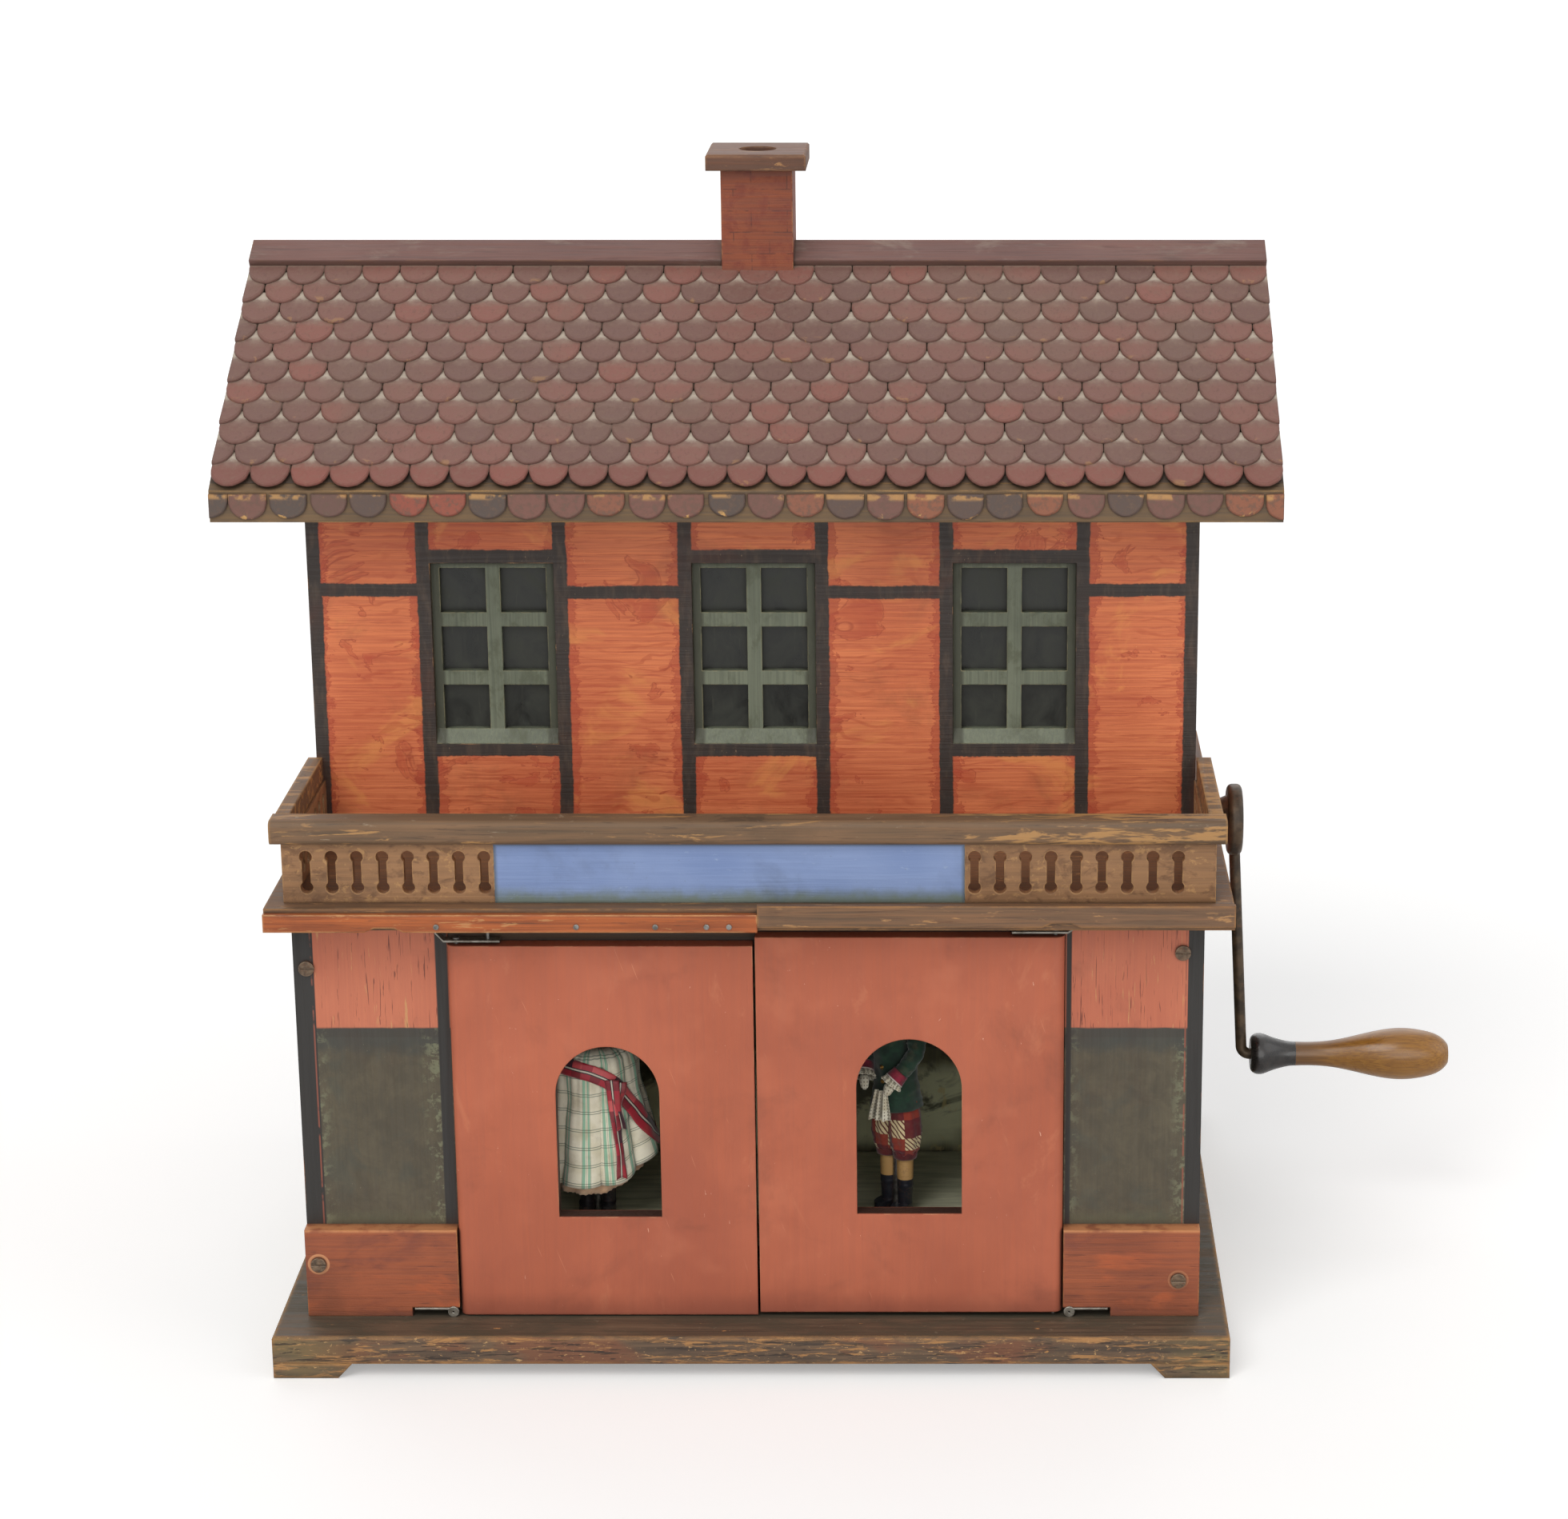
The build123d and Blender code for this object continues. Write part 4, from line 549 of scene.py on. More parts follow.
def stained(paint, coat, distance):
    """Red tide marks beside the painted posts, wavy grain lines and pale rubbed spots."""
    ragged = (paint.noise(9.0, 4.0, 0.7, 0.8) - 0.5) * 13.0
    teeth = (paint.noise(1.1, 3.0, 0.7, 0.2, (7, 7, 1), 3.0) - 0.5) * 7.0
    reach = distance + (ragged + teeth)
    inside = reach.ramp(4.2, 6.4, 0.5, 0.0)
    rim = reach.within(5.0, 5.9, 0.4) * 0.7
    coat = coat.over(inside | rim, (168, 56, 38))
    coat = coat.blot((176, 74, 46), 0.54, 0.68, 0.55, 0.8, 4.0, 0.68, 0.5, (24, 24, 1), 13.0)
    coat = coat.blot((232, 150, 84), 0.56, 0.68, 0.6, 26.0, 4.0, 0.6, 0.8, (1.4, 1.4, 1), 47.0)
    swirl = paint.noise(60.0, 3.0, 0.55, 0.4, (1, 1, 0.35)) * 34.0
    rings = (paint.z * 1.35 + swirl).sine()
    ring = rings.ramp(0.55, 0.95) * paint.noise(24.0, 3.0, 0.6, shift=9.0).ramp(0.42, 0.6)
    coat = coat.over(ring * 0.42, (182, 74, 44))
    blotch = paint.noise(19.0, 4.0, 0.6, 0.9, (1.5, 1, 1), 21.0)
    coat = coat.over(blotch.ramp(0.58, 0.66, 0.0, 0.5), (182, 66, 42))
    coat = coat.over(blotch.within(0.6, 0.615, 0.006) * 0.5, (160, 54, 34))
    return coat.blot((240, 176, 124), 0.72, 0.76, 0.8, 1.9, 4.0, 0.7, 0.5, (1, 1, 1.8), 33.0)


def upper_marks(paint, coat):
    """Front of the upper storey: posts beside the windows, rails between them, dark reveals."""
    mirrored = abs(paint.x)
    posts = [(28.8, 2.9, 200, 380), (81.2, 2.9, 200, 380), (138.8, 2.9, 200, 380), (186.0, 4.2, 200, 380)]
    rails = [(311.5, 2.8, 30.0, 80.0), (312.5, 2.8, 139.0, 190.0)]
    for half_low, half_high in ((-1.0, 29.0), (81.0, 139.0)):
        rails.append((327.0, 2.9, half_low, half_high))
        rails.append((242.2, 2.7, half_low, half_high))
    line, distance = painted_lines(paint, mirrored, paint.z, posts, rails)
    coat = stained(paint, coat, distance)
    dark = paint.noise(3.0, 3.0, 0.6, 0.0, (1, 1, 4)).ramp(0.45, 0.75).between(BLACK_BROWN, (74, 60, 50))
    dark = dark.blot((168, 140, 110), 0.68, 0.72, 0.7, 1.0, 4.0, 0.7, 0.2, (1, 1, 3), 51.0)
    from_window = (paint.x + WINDOW_PITCH / 2) % WINDOW_PITCH - WINDOW_PITCH / 2
    rim = from_window.within(-28.0, 28.0, 0.2) * paint.z.within(241.0, 327.0, 0.2)
    rim = rim * mirrored.ramp(139.0, 140.0, 1.0, 0.0)
    coat = coat.over(line | rim, dark)
    foot = (paint.z + paint.noise(7.0, 3.0, 0.6) * 5.0).ramp(206.5, 212.0, 0.55, 0.0)
    coat = coat.over(foot, (74, 48, 36))
    reveal = paint.y.within(85.25, 92.8, 0.05)
    inner = reveal * mirrored.ramp(150, 160, 1.0, 0.0)
    return coat.over(inner, (66, 60, 46))


def gable_marks(paint, coat):
    """Gable: corner posts, a middle post, two rails and a pair of braces."""
    posts = [(87.6, 3.0, 200, 470), (172.0, 2.9, 200, 470), (256.4, 3.0, 200, 470)]
    rails = [(311.5, 2.8, 80, 270), (367.0, 2.8, 80, 270), (207.0, 3.0, 80, 270)]
    line, distance = painted_lines(paint, paint.y, paint.z, posts, rails)
    coat = stained(paint, coat, distance)
    from_middle = abs(paint.y - 172.0)
    brace = abs(from_middle + paint.z * 0.8 - 291.0)
    braces = brace.ramp(3.0, 3.7, 1.0, 0.0) * paint.z.within(209.0, 309.0)
    return coat.over(line | braces, BLACK_BROWN)


def post_marks(paint, coat):
    """Front posts of the lower storey: red above, mottled grey-green below, black bands at both sides."""
    edge = 145.2 + (paint.noise(12.0, 2.0, 0.5) - 0.5) * 1.2
    lower = (edge - paint.z).ramp(-0.3, 0.3)
    mottle = paint.noise(11.0, 5.0, 0.68, 0.5, shift=4.0)
    slate = mottle.ramp(0.3, 0.75).between((76, 69, 55), (92, 84, 66))
    slate = slate.blot((66, 62, 53), 0.4, 0.75, 0.3, 1.4, 3.0, 0.6, 0.2, (1, 1, 9), 14.0)
    slate = slate.blot((68, 72, 64), 0.5, 0.68, 0.4, 15.0, 4.0, 0.6, 0.5, shift=24.0)
    head = (paint.z + paint.noise(6.0, 4.0, 0.66, shift=8.0) * 8.0).ramp(136.0, 143.0, 0.0, 0.65)
    slate = slate.over(head, (56, 60, 58))
    foot = (paint.z + paint.noise(5.0, 4.0, 0.66, shift=9.0) * 9.0).ramp(62.0, 70.0, 0.55, 0.0)
    slate = slate.over(foot, (98, 100, 78))
    rubbed = paint.noise(3.6, 5.0, 0.7, 0.3, shift=15.0)
    from_post = abs(paint.x)
    margin = abs(from_post - 155.6)
    worn_band = margin.ramp(17.0, 25.0) * rubbed.ramp(0.5, 0.6, 0.0, 0.75)
    slate = slate.over(worn_band, (122, 124, 98))
    slate = slate.blot((150, 144, 122), 0.7, 0.74, 0.6, 1.2, 4.0, 0.7, 0.3, shift=61.0)
    coat = coat.over(lower, slate)
    top_rim = paint.z.within(141.0, 145.4, 0.6)
    coat = coat.over(top_rim * 0.5, (60, 54, 48))
    upper = 1 - lower
    coat = coat.blot((206, 158, 104), 0.6, 0.68, 0.65, 2.2, 5.0, 0.68, 0.4, (1, 1, 12), 71.0, where=upper)
    cracks = paint.noise(0.9, 3.0, 0.6, 0.8, (1, 1, 26), 5.0)
    crack = cracks.ramp(0.615, 0.66) * upper
    coat = coat.over(crack * 0.75, (92, 46, 38))
    line = paint.x.within(-190.0, -179.2, 0.25) | paint.x.within(181.0, 190.0, 0.25)
    left = paint.x.within(-129.0, -124.0)
    right = paint.x.within(130.9, 133.0)
    black = line | left | right
    coat = coat.over(black, (44, 42, 40))
    thin = from_post.within(179.9, 180.5, 0.2) * paint.noise(9.0).ramp(0.4, 0.5)
    return coat.over(thin * 0.8, (150, 84, 66))


def side_marks(paint, coat):
    """Sides of the lower storey: red over grey-green, with a black band at each corner."""
    lower = paint.z.ramp(144.9, 145.5, 1.0, 0.0)
    mottle = paint.noise(13.0, 5.0, 0.68, 0.5, shift=4.0)
    slate = mottle.ramp(0.3, 0.75).between((82, 77, 65), (97, 91, 77))
    slate = slate.blot((62, 59, 50), 0.4, 0.75, 0.35, 1.5, 3.0, 0.6, 0.2, (1, 1, 9), 14.0)
    slate = slate.blot((66, 72, 66), 0.5, 0.68, 0.5, 19.0, 4.0, 0.62, 0.6, shift=24.0)
    slate = slate.blot((136, 132, 108), 0.66, 0.72, 0.6, 1.4, 4.0, 0.7, 0.3, (1, 1, 2), 61.0)
    coat = coat.over(lower, slate)
    cracks = paint.noise(0.9, 3.0, 0.6, 0.8, (1, 1, 26), 5.0)
    crack = cracks.ramp(0.63, 0.67) * (1 - lower)
    coat = coat.over(crack * 0.7, (92, 46, 38))
    line, _ = painted_lines(paint, paint.y, paint.z,
                            [(15.0, 4.0, 0, 250), (132.0, 2.9, 0, 250), (255.0, 4.5, 0, 250)])
    return coat.over(line, (44, 42, 40))


def sign_marks(paint, coat):
    """Bare blue sign: greenish grime along the foot, a dark line round the edge, pale rubs."""
    foot = paint.z + paint.noise(6.0, 4.0, 0.6) * 6.0
    coat = coat.over(foot.ramp(207.0, 214.5, 0.9, 0.0), (108, 120, 100))
    ends = abs(paint.x + 6.5)
    rim = ends.ramp(93.6, 95.2, 0.0, 0.7) | paint.z.ramp(227.3, 228.6, 0.0, 0.8)
    coat = coat.over(rim, (74, 84, 92))
    coat = coat.blot((164, 182, 208), 0.62, 0.7, 0.5, 2.6, 5.0, 0.7, 0.4, (3, 1, 1), 12.0)
    return coat.blot((88, 92, 92), 0.69, 0.73, 0.7, 1.3, 4.0, 0.7, 0.3, (1.6, 1, 1), 22.0)


def brick_marks(paint, coat):
    """Thin dark joints of painted bricks, half worn away."""
    row = ((paint.z - CHIMNEY_FOOT) / BRICK_ROW).floor()
    in_row = (paint.z - CHIMNEY_FOOT) % BRICK_ROW
    offset = row % 2.0 * (BRICK_LENGTH / 2)
    along = paint.x + paint.y + offset
    in_brick = along % BRICK_LENGTH
    joint = in_row.ramp(0.3, 0.7, 1.0, 0.0) | in_brick.ramp(0.3, 0.7, 1.0, 0.0)
    worn_away = paint.noise(5.0, 3.0, 0.6).ramp(0.42, 0.6, 0.0, 0.75)
    patch = paint.noise(8.0, 4.0, 0.65, 0.4, shift=2.0).ramp(0.45, 0.65, 0.0, 0.7)
    coat = coat.over(patch, (120, 52, 38))
    coat = coat.blot((104, 50, 38), 0.56, 0.68, 0.5, 0.9, 4.0, 0.66, 0.5, (12, 12, 1), 3.0)
    return coat.over(joint * worn_away, (84, 44, 36))


board_paint("wall_stain", (236, 138, 88), (194, 94, 58), (234, 174, 116), "X", upper_marks, wear=0.12,
            chips=0.84, edge=0.6, dirt_and_shade=(92, 46, 30), reach=6.0, corner_shade_amount=0.6, rough=0.55, fine=1.2,
            strength=0.55)
board_paint("gable_stain", (230, 134, 86), (200, 98, 60), (234, 174, 116), "Y", gable_marks, wear=0.45,
            chips=0.82, edge=0.8, dirt_and_shade=(92, 46, 30), reach=6.0, corner_shade_amount=0.6, rough=0.55, fine=1.2,
            strength=0.55)
board_paint("post_paint", (204, 122, 92), (184, 102, 76), (220, 158, 118), "Z", post_marks, wear=0.25,
            chips=0.84, edge=0.7, dirt_and_shade=(60, 40, 32), reach=5.0, strength=0.35)
board_paint("side_paint", (194, 112, 84), (174, 92, 68), (216, 154, 114), "Y", side_marks, wear=0.4,
            chips=0.8, edge=0.9, dirt_and_shade=(60, 40, 32), reach=5.0, strength=0.35)
board_paint("sign_paint", (138, 158, 200), (116, 138, 184), (146, 142, 122), "X", sign_marks, wear=0.55,
            chips=0.76, edge=0.9, dirt_and_shade=(66, 70, 72), reach=3.0, strength=0.35, chip_size=4.0, rough=0.55)
board_paint("brick_paint", (154, 82, 52), (114, 58, 38), (196, 140, 96), "X", brick_marks, wear=0.55,
            chips=0.78, edge=1.0, dirt_and_shade=(70, 48, 40), chip_size=4.0)
board_paint("cap_paint", (114, 76, 56), (80, 54, 40), (168, 122, 84), "X", strip_marks, wear=0.6, edge=1.6,
            dirt_and_shade=(58, 44, 38), chip_size=5.0)


# ---------------------------------------------------------------------------------------------
# Metal, grip, panes and belt
# ---------------------------------------------------------------------------------------------

def metal(name, light, dark, rust, metallic, rough, rusty, size):
    """Old metal: mottled, with rusty spots that are rougher and not metallic."""
    paint = Paint(name)
    mottle = paint.noise(size, 4.0, 0.6)
    coat = mottle.ramp(0.35, 0.65).between(dark, light)
    spot = paint.noise(size * 0.5, 5.0, 0.7, 0.3, shift=8.0).ramp(0.72 - rusty * 0.3, 0.78 - rusty * 0.2)
    worn_edge = paint.edges(0.5) * 0.5
    coat = coat.over(worn_edge, tuple(min(255, c + 46) for c in light))
    coat = coat.over(spot, rust)
    paint.finish(coat, spot.ramp(0.0, 1.0, rough, rough + 0.25), mottle + spot, 0.35, 0.1,
                 Metallic=spot.ramp(0.0, 1.0, metallic, 0.15))


metal("dark_iron", (92, 76, 58), (58, 48, 38), (98, 68, 46), 0.4, 0.44, 0.45, 6.0)
metal("tin", (158, 154, 144), (118, 112, 102), (110, 84, 60), 0.8, 0.4, 0.3, 3.0)
metal("steel", (150, 148, 144), (104, 102, 98), (104, 76, 56), 0.85, 0.36, 0.2, 3.0)
metal("screw_iron", (126, 106, 86), (84, 70, 58), (112, 74, 50), 0.5, 0.5, 0.6, 2.0)
metal("brass", (190, 150, 78), (142, 104, 50), (92, 68, 40), 0.9, 0.32, 0.2, 1.5)

paint = Paint("black_ferrule")
smudge = paint.noise(3.0, 4.0, 0.6)
coat = smudge.ramp(0.4, 0.7).between((24, 21, 20), (44, 38, 35))
coat = coat.over(paint.edges(0.7) * smudge.ramp(0.4, 0.55), (96, 72, 48))
paint.finish(coat, smudge.ramp(0.3, 0.7, 0.2, 0.42), smudge, 0.2, 0.08,
             Coat_Weight=0.4, Coat_Roughness=0.15)

paint = Paint("grip_wood")
fibre = paint.grain("X", 0.7, 30.0, 0.3)
slow = paint.noise(22.0, 4.0, 0.6, 0.5, (1.6, 1, 1))
coat = fibre.ramp(0.3, 0.7).between((124, 80, 20), (158, 108, 32))
coat = coat.over(slow.ramp(0.5, 0.72, 0.0, 0.55), (112, 72, 34))
near = paint.x.ramp(240.0, 262.0, 0.6, 0.0)
coat = coat.over(near, (92, 62, 38))
nick = paint.noise(2.2, 4.0, 0.7, shift=6.0).ramp(0.7, 0.73, 0.0, 0.6)
coat = coat.over(nick, (96, 64, 38))
paint.finish(coat, slow.ramp(0.3, 0.7, 0.26, 0.42), fibre + nick, 0.22, 0.1,
             Coat_Weight=0.25, Coat_Roughness=0.2)

paint = Paint("dark_pane")
film = paint.noise(14.0, 5.0, 0.65, 0.6, (1, 1, 1.4))
coat = film.ramp(0.35, 0.75).between((27, 29, 25), (50, 52, 44))
coat = coat.blot((76, 76, 62), 0.6, 0.75, 0.35, 2.2, 4.0, 0.6, 0.2, (1, 1, 9), 3.0)
# Painted shade: the panes are darkened where they meet the sash, found by ambient occlusion.
pane_corner_shade = paint.corners(5.0).ramp(0.2, 0.8, 0.0, 0.7)
coat = coat.over(pane_corner_shade, (30, 28, 22))
paint.finish(coat, film.ramp(0.3, 0.7, 0.25, 0.6), film, 0.1, 0.1)


def woven(paint, across, along, pitch):
    """Plain weave from two coordinates in millimetres: height from 0 to 1."""
    turn = 2 * math.pi / pitch
    over = (across * turn).sine()
    under = (along * turn).sine()
    return (over * under).ramp(-1.0, 1.0)


paint = Paint("belt_cotton")
threads = woven(paint, paint.x + paint.y, paint.z, 0.9)
soil = paint.noise(9.0, 4.0, 0.6)
coat = soil.ramp(0.35, 0.7).between((188, 174, 144), (140, 124, 98))
coat = coat.over(threads * 0.3, (110, 96, 76))
paint.finish(coat, 0.85, threads, 0.5, 0.15, Sheen_Weight=0.2)


# ---------------------------------------------------------------------------------------------
# Cloth and the painted figures
# ---------------------------------------------------------------------------------------------

WOMAN = ("dancer_left", -68.0, 38.0, 0.0)
MAN = ("dancer_right", 60.0, 38.0, math.radians(-38.0))


def cloth_paint(name, colour_of, rough=0.85, thread=0.55, weave=0.35, sheen=0.25):
    """Woven cloth; colour_of gives its colour from the paint and the cloth's width and length."""
    paint = Paint(name)
    placed = paint.add("ShaderNodeUVMap", uv_map="cloth")
    across, along, _ = paint.split(placed)
    weft = woven(paint, across, along, thread)
    coat = colour_of(paint, across, along)
    coat = coat.over(weft * 0.22, (40, 34, 28), "MULTIPLY")
    soil = paint.noise(7.0, 4.0, 0.6, shift=2.0).ramp(0.5, 0.75, 0.0, 0.25)
    coat = coat.over(soil, (120, 98, 70))
    # Painted shade: the valleys between folds are darkened, found by ambient occlusion.
    fold_shade = paint.corners(5.0).ramp(0.25, 0.7, 0.0, 0.7)
    coat = coat.over(fold_shade, (70, 66, 56), "MULTIPLY")
    paint.finish(coat, rough, weft, weave, 0.08, Sheen_Weight=sheen, Sheen_Roughness=0.5)


def plaid(paint, across, along):
    """Cream cotton with pairs of mint stripes down it and fine grey-green pairs of lines across it."""
    coat = paint.noise(9.0).ramp(0.35, 0.7).between((246, 240, 218), (228, 220, 192))
    place = across % 12.4
    stripe = place.within(2.4, 3.9, 0.25) | place.within(5.2, 6.3, 0.25)
    coat = coat.over(stripe * 0.9, (136, 192, 162))
    thin = place.within(2.1, 2.4, 0.1) | place.within(4.5, 4.75, 0.1) | place.within(6.4, 6.7, 0.1)
    coat = coat.over(thin * 0.6, (76, 112, 100))
    level = along % 8.8
    rows = level.within(2.0, 2.4, 0.1) | level.within(3.1, 3.5, 0.1)
    return coat.over(rows * 0.7, (92, 110, 90))


def ribbon(paint, across, along):
    """Ribbon with blocks of crimson, pink and dark plum, and a white line between two black ones."""
    block = (along / 4.6).floor()
    side = across.ramp(3.45, 3.55)
    pick = paint.add("ShaderNodeTexWhiteNoise", {"Vector": paint.add("ShaderNodeCombineXYZ",
                                                                     {0: block, 1: side, 2: 3.0})},
                     noise_dimensions="3D")
    coat = pick.ramp(0.34, 0.36).between((172, 24, 46), (132, 18, 36))
    coat = coat.over(pick.ramp(0.56, 0.58), (216, 84, 88))
    coat = coat.over(pick.ramp(0.74, 0.76), (70, 20, 40))
    coat = coat.over(across.within(2.7, 4.2, 0.08), (34, 26, 28))
    return coat.over(across.within(3.15, 3.75, 0.1), (222, 214, 196))


def patches(paint, across, along):
    """Breeches cloth: rust and maroon squares and cream ones with a slanting hatch."""
    column = (across / 6.2).floor()
    row = (along / 6.0).floor()
    odd = (column + row) % 3.0
    coat = odd.ramp(0.4, 0.6).between((150, 52, 34), (104, 22, 30))
    slant = (across + along) % 2.1
    hatch = slant.within(0.5, 1.25, 0.12).between((232, 214, 168), (96, 30, 28))
    return coat.over(odd.ramp(1.4, 1.6), hatch)


def even(light, dark):
    """Plain dyed cloth with a little change of tone."""

    def colour_of(paint, across, along):
        return paint.noise(5.0, 4.0, 0.6).ramp(0.35, 0.7).between(light, dark)
    return colour_of


def cuff_band(paint, across, along):
    """Crimson cuff with a thin white edge."""
    coat = paint.noise(3.0).ramp(0.35, 0.7).between((150, 30, 58), (104, 20, 42))
    return coat.over(along.within(2.9, 3.6, 0.1), (212, 200, 190))


def lace_work(paint, across, along):
    """White lace: rows of small round holes that show as dark dots."""
    over = across % 1.5 - 0.75
    up = along % 1.4 - 0.7
    gap = over * over + up * up
    coat = paint.noise(4.0).ramp(0.4, 0.7).between((232, 226, 206), (206, 196, 168))
    return coat.over(gap.ramp(0.06, 0.16, 0.75, 0.0), (96, 84, 64))


cloth_paint("plaid_cotton", plaid)
cloth_paint("ribbon_silk", ribbon, rough=0.5, weave=0.2, sheen=0.4)
cloth_paint("peach_cotton", even((236, 200, 166), (214, 170, 132)))
cloth_paint("green_wool", even((24, 62, 42), (13, 40, 28)), weave=0.5, sheen=0.35)
cloth_paint("patched_cloth", patches)
cloth_paint("crimson_cuff", cuff_band)
cloth_paint("dark_red_band", even((112, 26, 32), (76, 16, 22)))
cloth_paint("white_lace", lace_work)
cloth_paint("black_felt", even((40, 38, 36), (24, 23, 22)), weave=0.2)


def spot(paint, across, up, middle_across, middle_up, half_across, half_up, soft=0.25):
    """Filled ellipse seen from the front."""
    a = (across - middle_across) / half_across
    b = (up - middle_up) / half_up
    return (a * a + b * b).ramp(1 - soft, 1 + soft, 1.0, 0.0)


def figure_paint(name, dancer, bands, hair, dress):
    """Painted wood; bands are (lowest height, colour) from the sole up, and dress paints the trunk."""
    paint = Paint(name)
    _, across, back, turn = dancer
    from_x, from_y = paint.x - across, paint.y - back
    side = from_x * math.cos(turn) + from_y * math.sin(turn)
    deep = from_x * -math.sin(turn) + from_y * math.cos(turn)
    up = paint.z
    skin = paint.noise(5.0, 3.0, 0.5).ramp(0.35, 0.7).between((222, 174, 140), (206, 154, 120))
    coat = skin
    for low, colour in reversed(bands):
        coat = coat.over(up.ramp(low - 0.15, low + 0.15, 1.0, 0.0), colour)
    coat = dress(paint, coat, side, deep, up)
    front = deep.ramp(-2.5, -3.5)
    both = abs(side)
    cheek = spot(paint, both, up, 4.0, 159.0, 1.9, 1.6, 0.8) * 0.5
    white = spot(paint, both, up, 2.6, 162.0, 1.35, 0.95)
    iris = spot(paint, both, up, 2.55, 162.0, 0.68, 0.85)
    lid = spot(paint, both, up, 2.6, 162.5, 1.55, 1.05) * up.ramp(162.55, 162.75)
    brow = spot(paint, both, up, 2.7, 163.3, 1.9, 1.7) * up.ramp(164.35, 164.5)
    lips = spot(paint, both, up, 0.0, 157.4, 1.7, 0.62)
    parting = up.within(157.3, 157.5, 0.08) * both.ramp(1.5, 1.6, 1.0, 0.0)
    for mark, colour in ((cheek, (214, 118, 96)), (white, (232, 224, 210)), (iris, (52, 60, 64)),
                         (lid, (110, 64, 48)), (brow * 0.85, (78, 50, 36)), (lips, (176, 62, 60)),
                         (parting, (112, 40, 40))):
        coat = coat.over(front * mark, colour)
    scalp = up.ramp(152.5, 153.5) * (deep.ramp(-2.6, -2.0) | up.ramp(166.6, 167.2))
    coat = coat.over(scalp, hair)
    crackle = paint.cracks(1.7)
    craze = crackle.ramp(0.0, 0.06, 0.35, 0.0) * paint.noise(6.0).ramp(0.45, 0.6)
    coat = coat.over(craze, (110, 74, 54))
    # Painted shade: the figure is darkened where it is closed in, at necks, folds and joints, found by
    # ambient occlusion.
    darkening = paint.corners(3.0).ramp(0.3, 0.8, 0.0, 0.5)
    coat = coat.over(darkening, (70, 48, 36))
    paint.finish(coat, paint.noise(3.0).ramp(0.3, 0.7, 0.3, 0.5), crackle, 0.15, 0.05,
                 Coat_Weight=0.2, Coat_Roughness=0.3)


def woman_dress(paint, coat, side, deep, up):
    """Wine-red bodice laced over a white front, and bare arms."""
    trunk = abs(side).ramp(8.0, 8.6, 1.0, 0.0) * deep.ramp(20.0, 30.0, 1.0, 0.0)
    bodice = trunk * up.within(104.0, 143.4, 0.2)
    coat = coat.over(bodice, (112, 26, 38))
    front = bodice * deep.ramp(-3.0, -4.0)
    panel = front * abs(side).ramp(2.3, 2.5, 1.0, 0.0)
    coat = coat.over(panel, (226, 216, 194))
    rise = up % 3.4
    cross = (rise + side * 0.72).within(1.45, 1.95, 0.12) | (rise + side * -0.72).within(1.45, 1.95, 0.12)
    return coat.over(panel * cross, (60, 20, 28))


def man_dress(paint, coat, side, deep, up):
    """White shirt at the neck over the trunk."""
    return coat.over(up.within(100.0, 148.5, 0.2), (224, 214, 192))


figure_paint("woman_paint", WOMAN, ((66.5, (34, 32, 36)), (104.0, (216, 206, 184))), (74, 46, 30),
             woman_dress)
figure_paint("man_paint", MAN, ((66.8, (30, 32, 40)), (100.0, (190, 150, 96))), (58, 38, 28), man_dress)


def hair_strands(paint, across, along):
    """Dark hair with lighter strands that follow the piece's length."""
    strand = paint.add("ShaderNodeTexNoise", {"Vector": paint.add("ShaderNodeCombineXYZ",
                                                                  {0: across * 2.4, 1: along * 0.25}),
                                              "Scale": 1.0})
    return strand.ramp(0.4, 0.62).between((52, 32, 22), (96, 62, 40))


cloth_paint("doll_hair", hair_strands, rough=0.45, weave=0.0, sheen=0.0)


CAD_FINISH = {
    "base_paint": ("base_board", "foot_battens"),
    "plinth_stain": ("plinth_left", "plinth_right"),
    "deck_paint": ("deck_board", "deck_strip_right"),
    "deck_side_paint": ("deck_side_boards",),
    "orange_pine": ("deck_strip_left",),
    "rail_paint": ("handrail_front",),
    "rail_side_paint": ("handrail_sides",),
    "fret_paint": ("fretwork_front_left", "fretwork_front_right"),
    "fret_side_paint": ("fretwork_sides",),
    "dark_wood": ("lintel", "roof_board_front", "roof_board_back"),
    "back_paint": ("back_panel",),
    "bare_pine": ("shaft_shelf", "support_blocks"),
    "beech": ("crown_wheel", "lantern_pinion", "drop_spindle", "music_barrel"),
    "sash_paint": ("window_sashes",),
    "door_paint": ("door_left", "door_right"),
    "roof_paint": ("ridge_boards", "shingles_front", "shingles_back"),
    "fascia_paint": ("fascia_boards",),
    "stage_paint": ("stage_floor",),
    "backdrop_paint": ("stage_backdrop",),
    "wall_stain": ("upper_front",),
    "gable_stain": ("gable_left", "gable_right"),
    "post_paint": ("pilaster_left", "pilaster_right"),
    "side_paint": ("side_wall_left", "side_wall_right"),
    "sign_paint": ("sign_board",),
    "brick_paint": ("chimney_stack",),
    "cap_paint": ("chimney_cap",),
    "dark_iron": ("crank_axle", "crank_hub", "crank_arm"),
    "black_ferrule": ("grip_ferrule",),
    "grip_wood": ("crank_grip",),
    "tin": ("hinge_straps",),
    "steel": ("music_comb", "wire_nails", "dancer_left_spindle", "dancer_right_spindle"),
    "screw_iron": ("wood_screws",),
    "dark_pane": ("window_panes",),
    "belt_cotton": ("drive_belt",),
    "woman_paint": ("dancer_left_figure",),
    "man_paint": ("dancer_right_figure",),
}
for finish_name, names in CAD_FINISH.items():
    for name in names:
        cad[name].data.materials.clear()
        cad[name].data.materials.append(made[finish_name])


# ---------------------------------------------------------------------------------------------
# Mesh helpers
# ---------------------------------------------------------------------------------------------

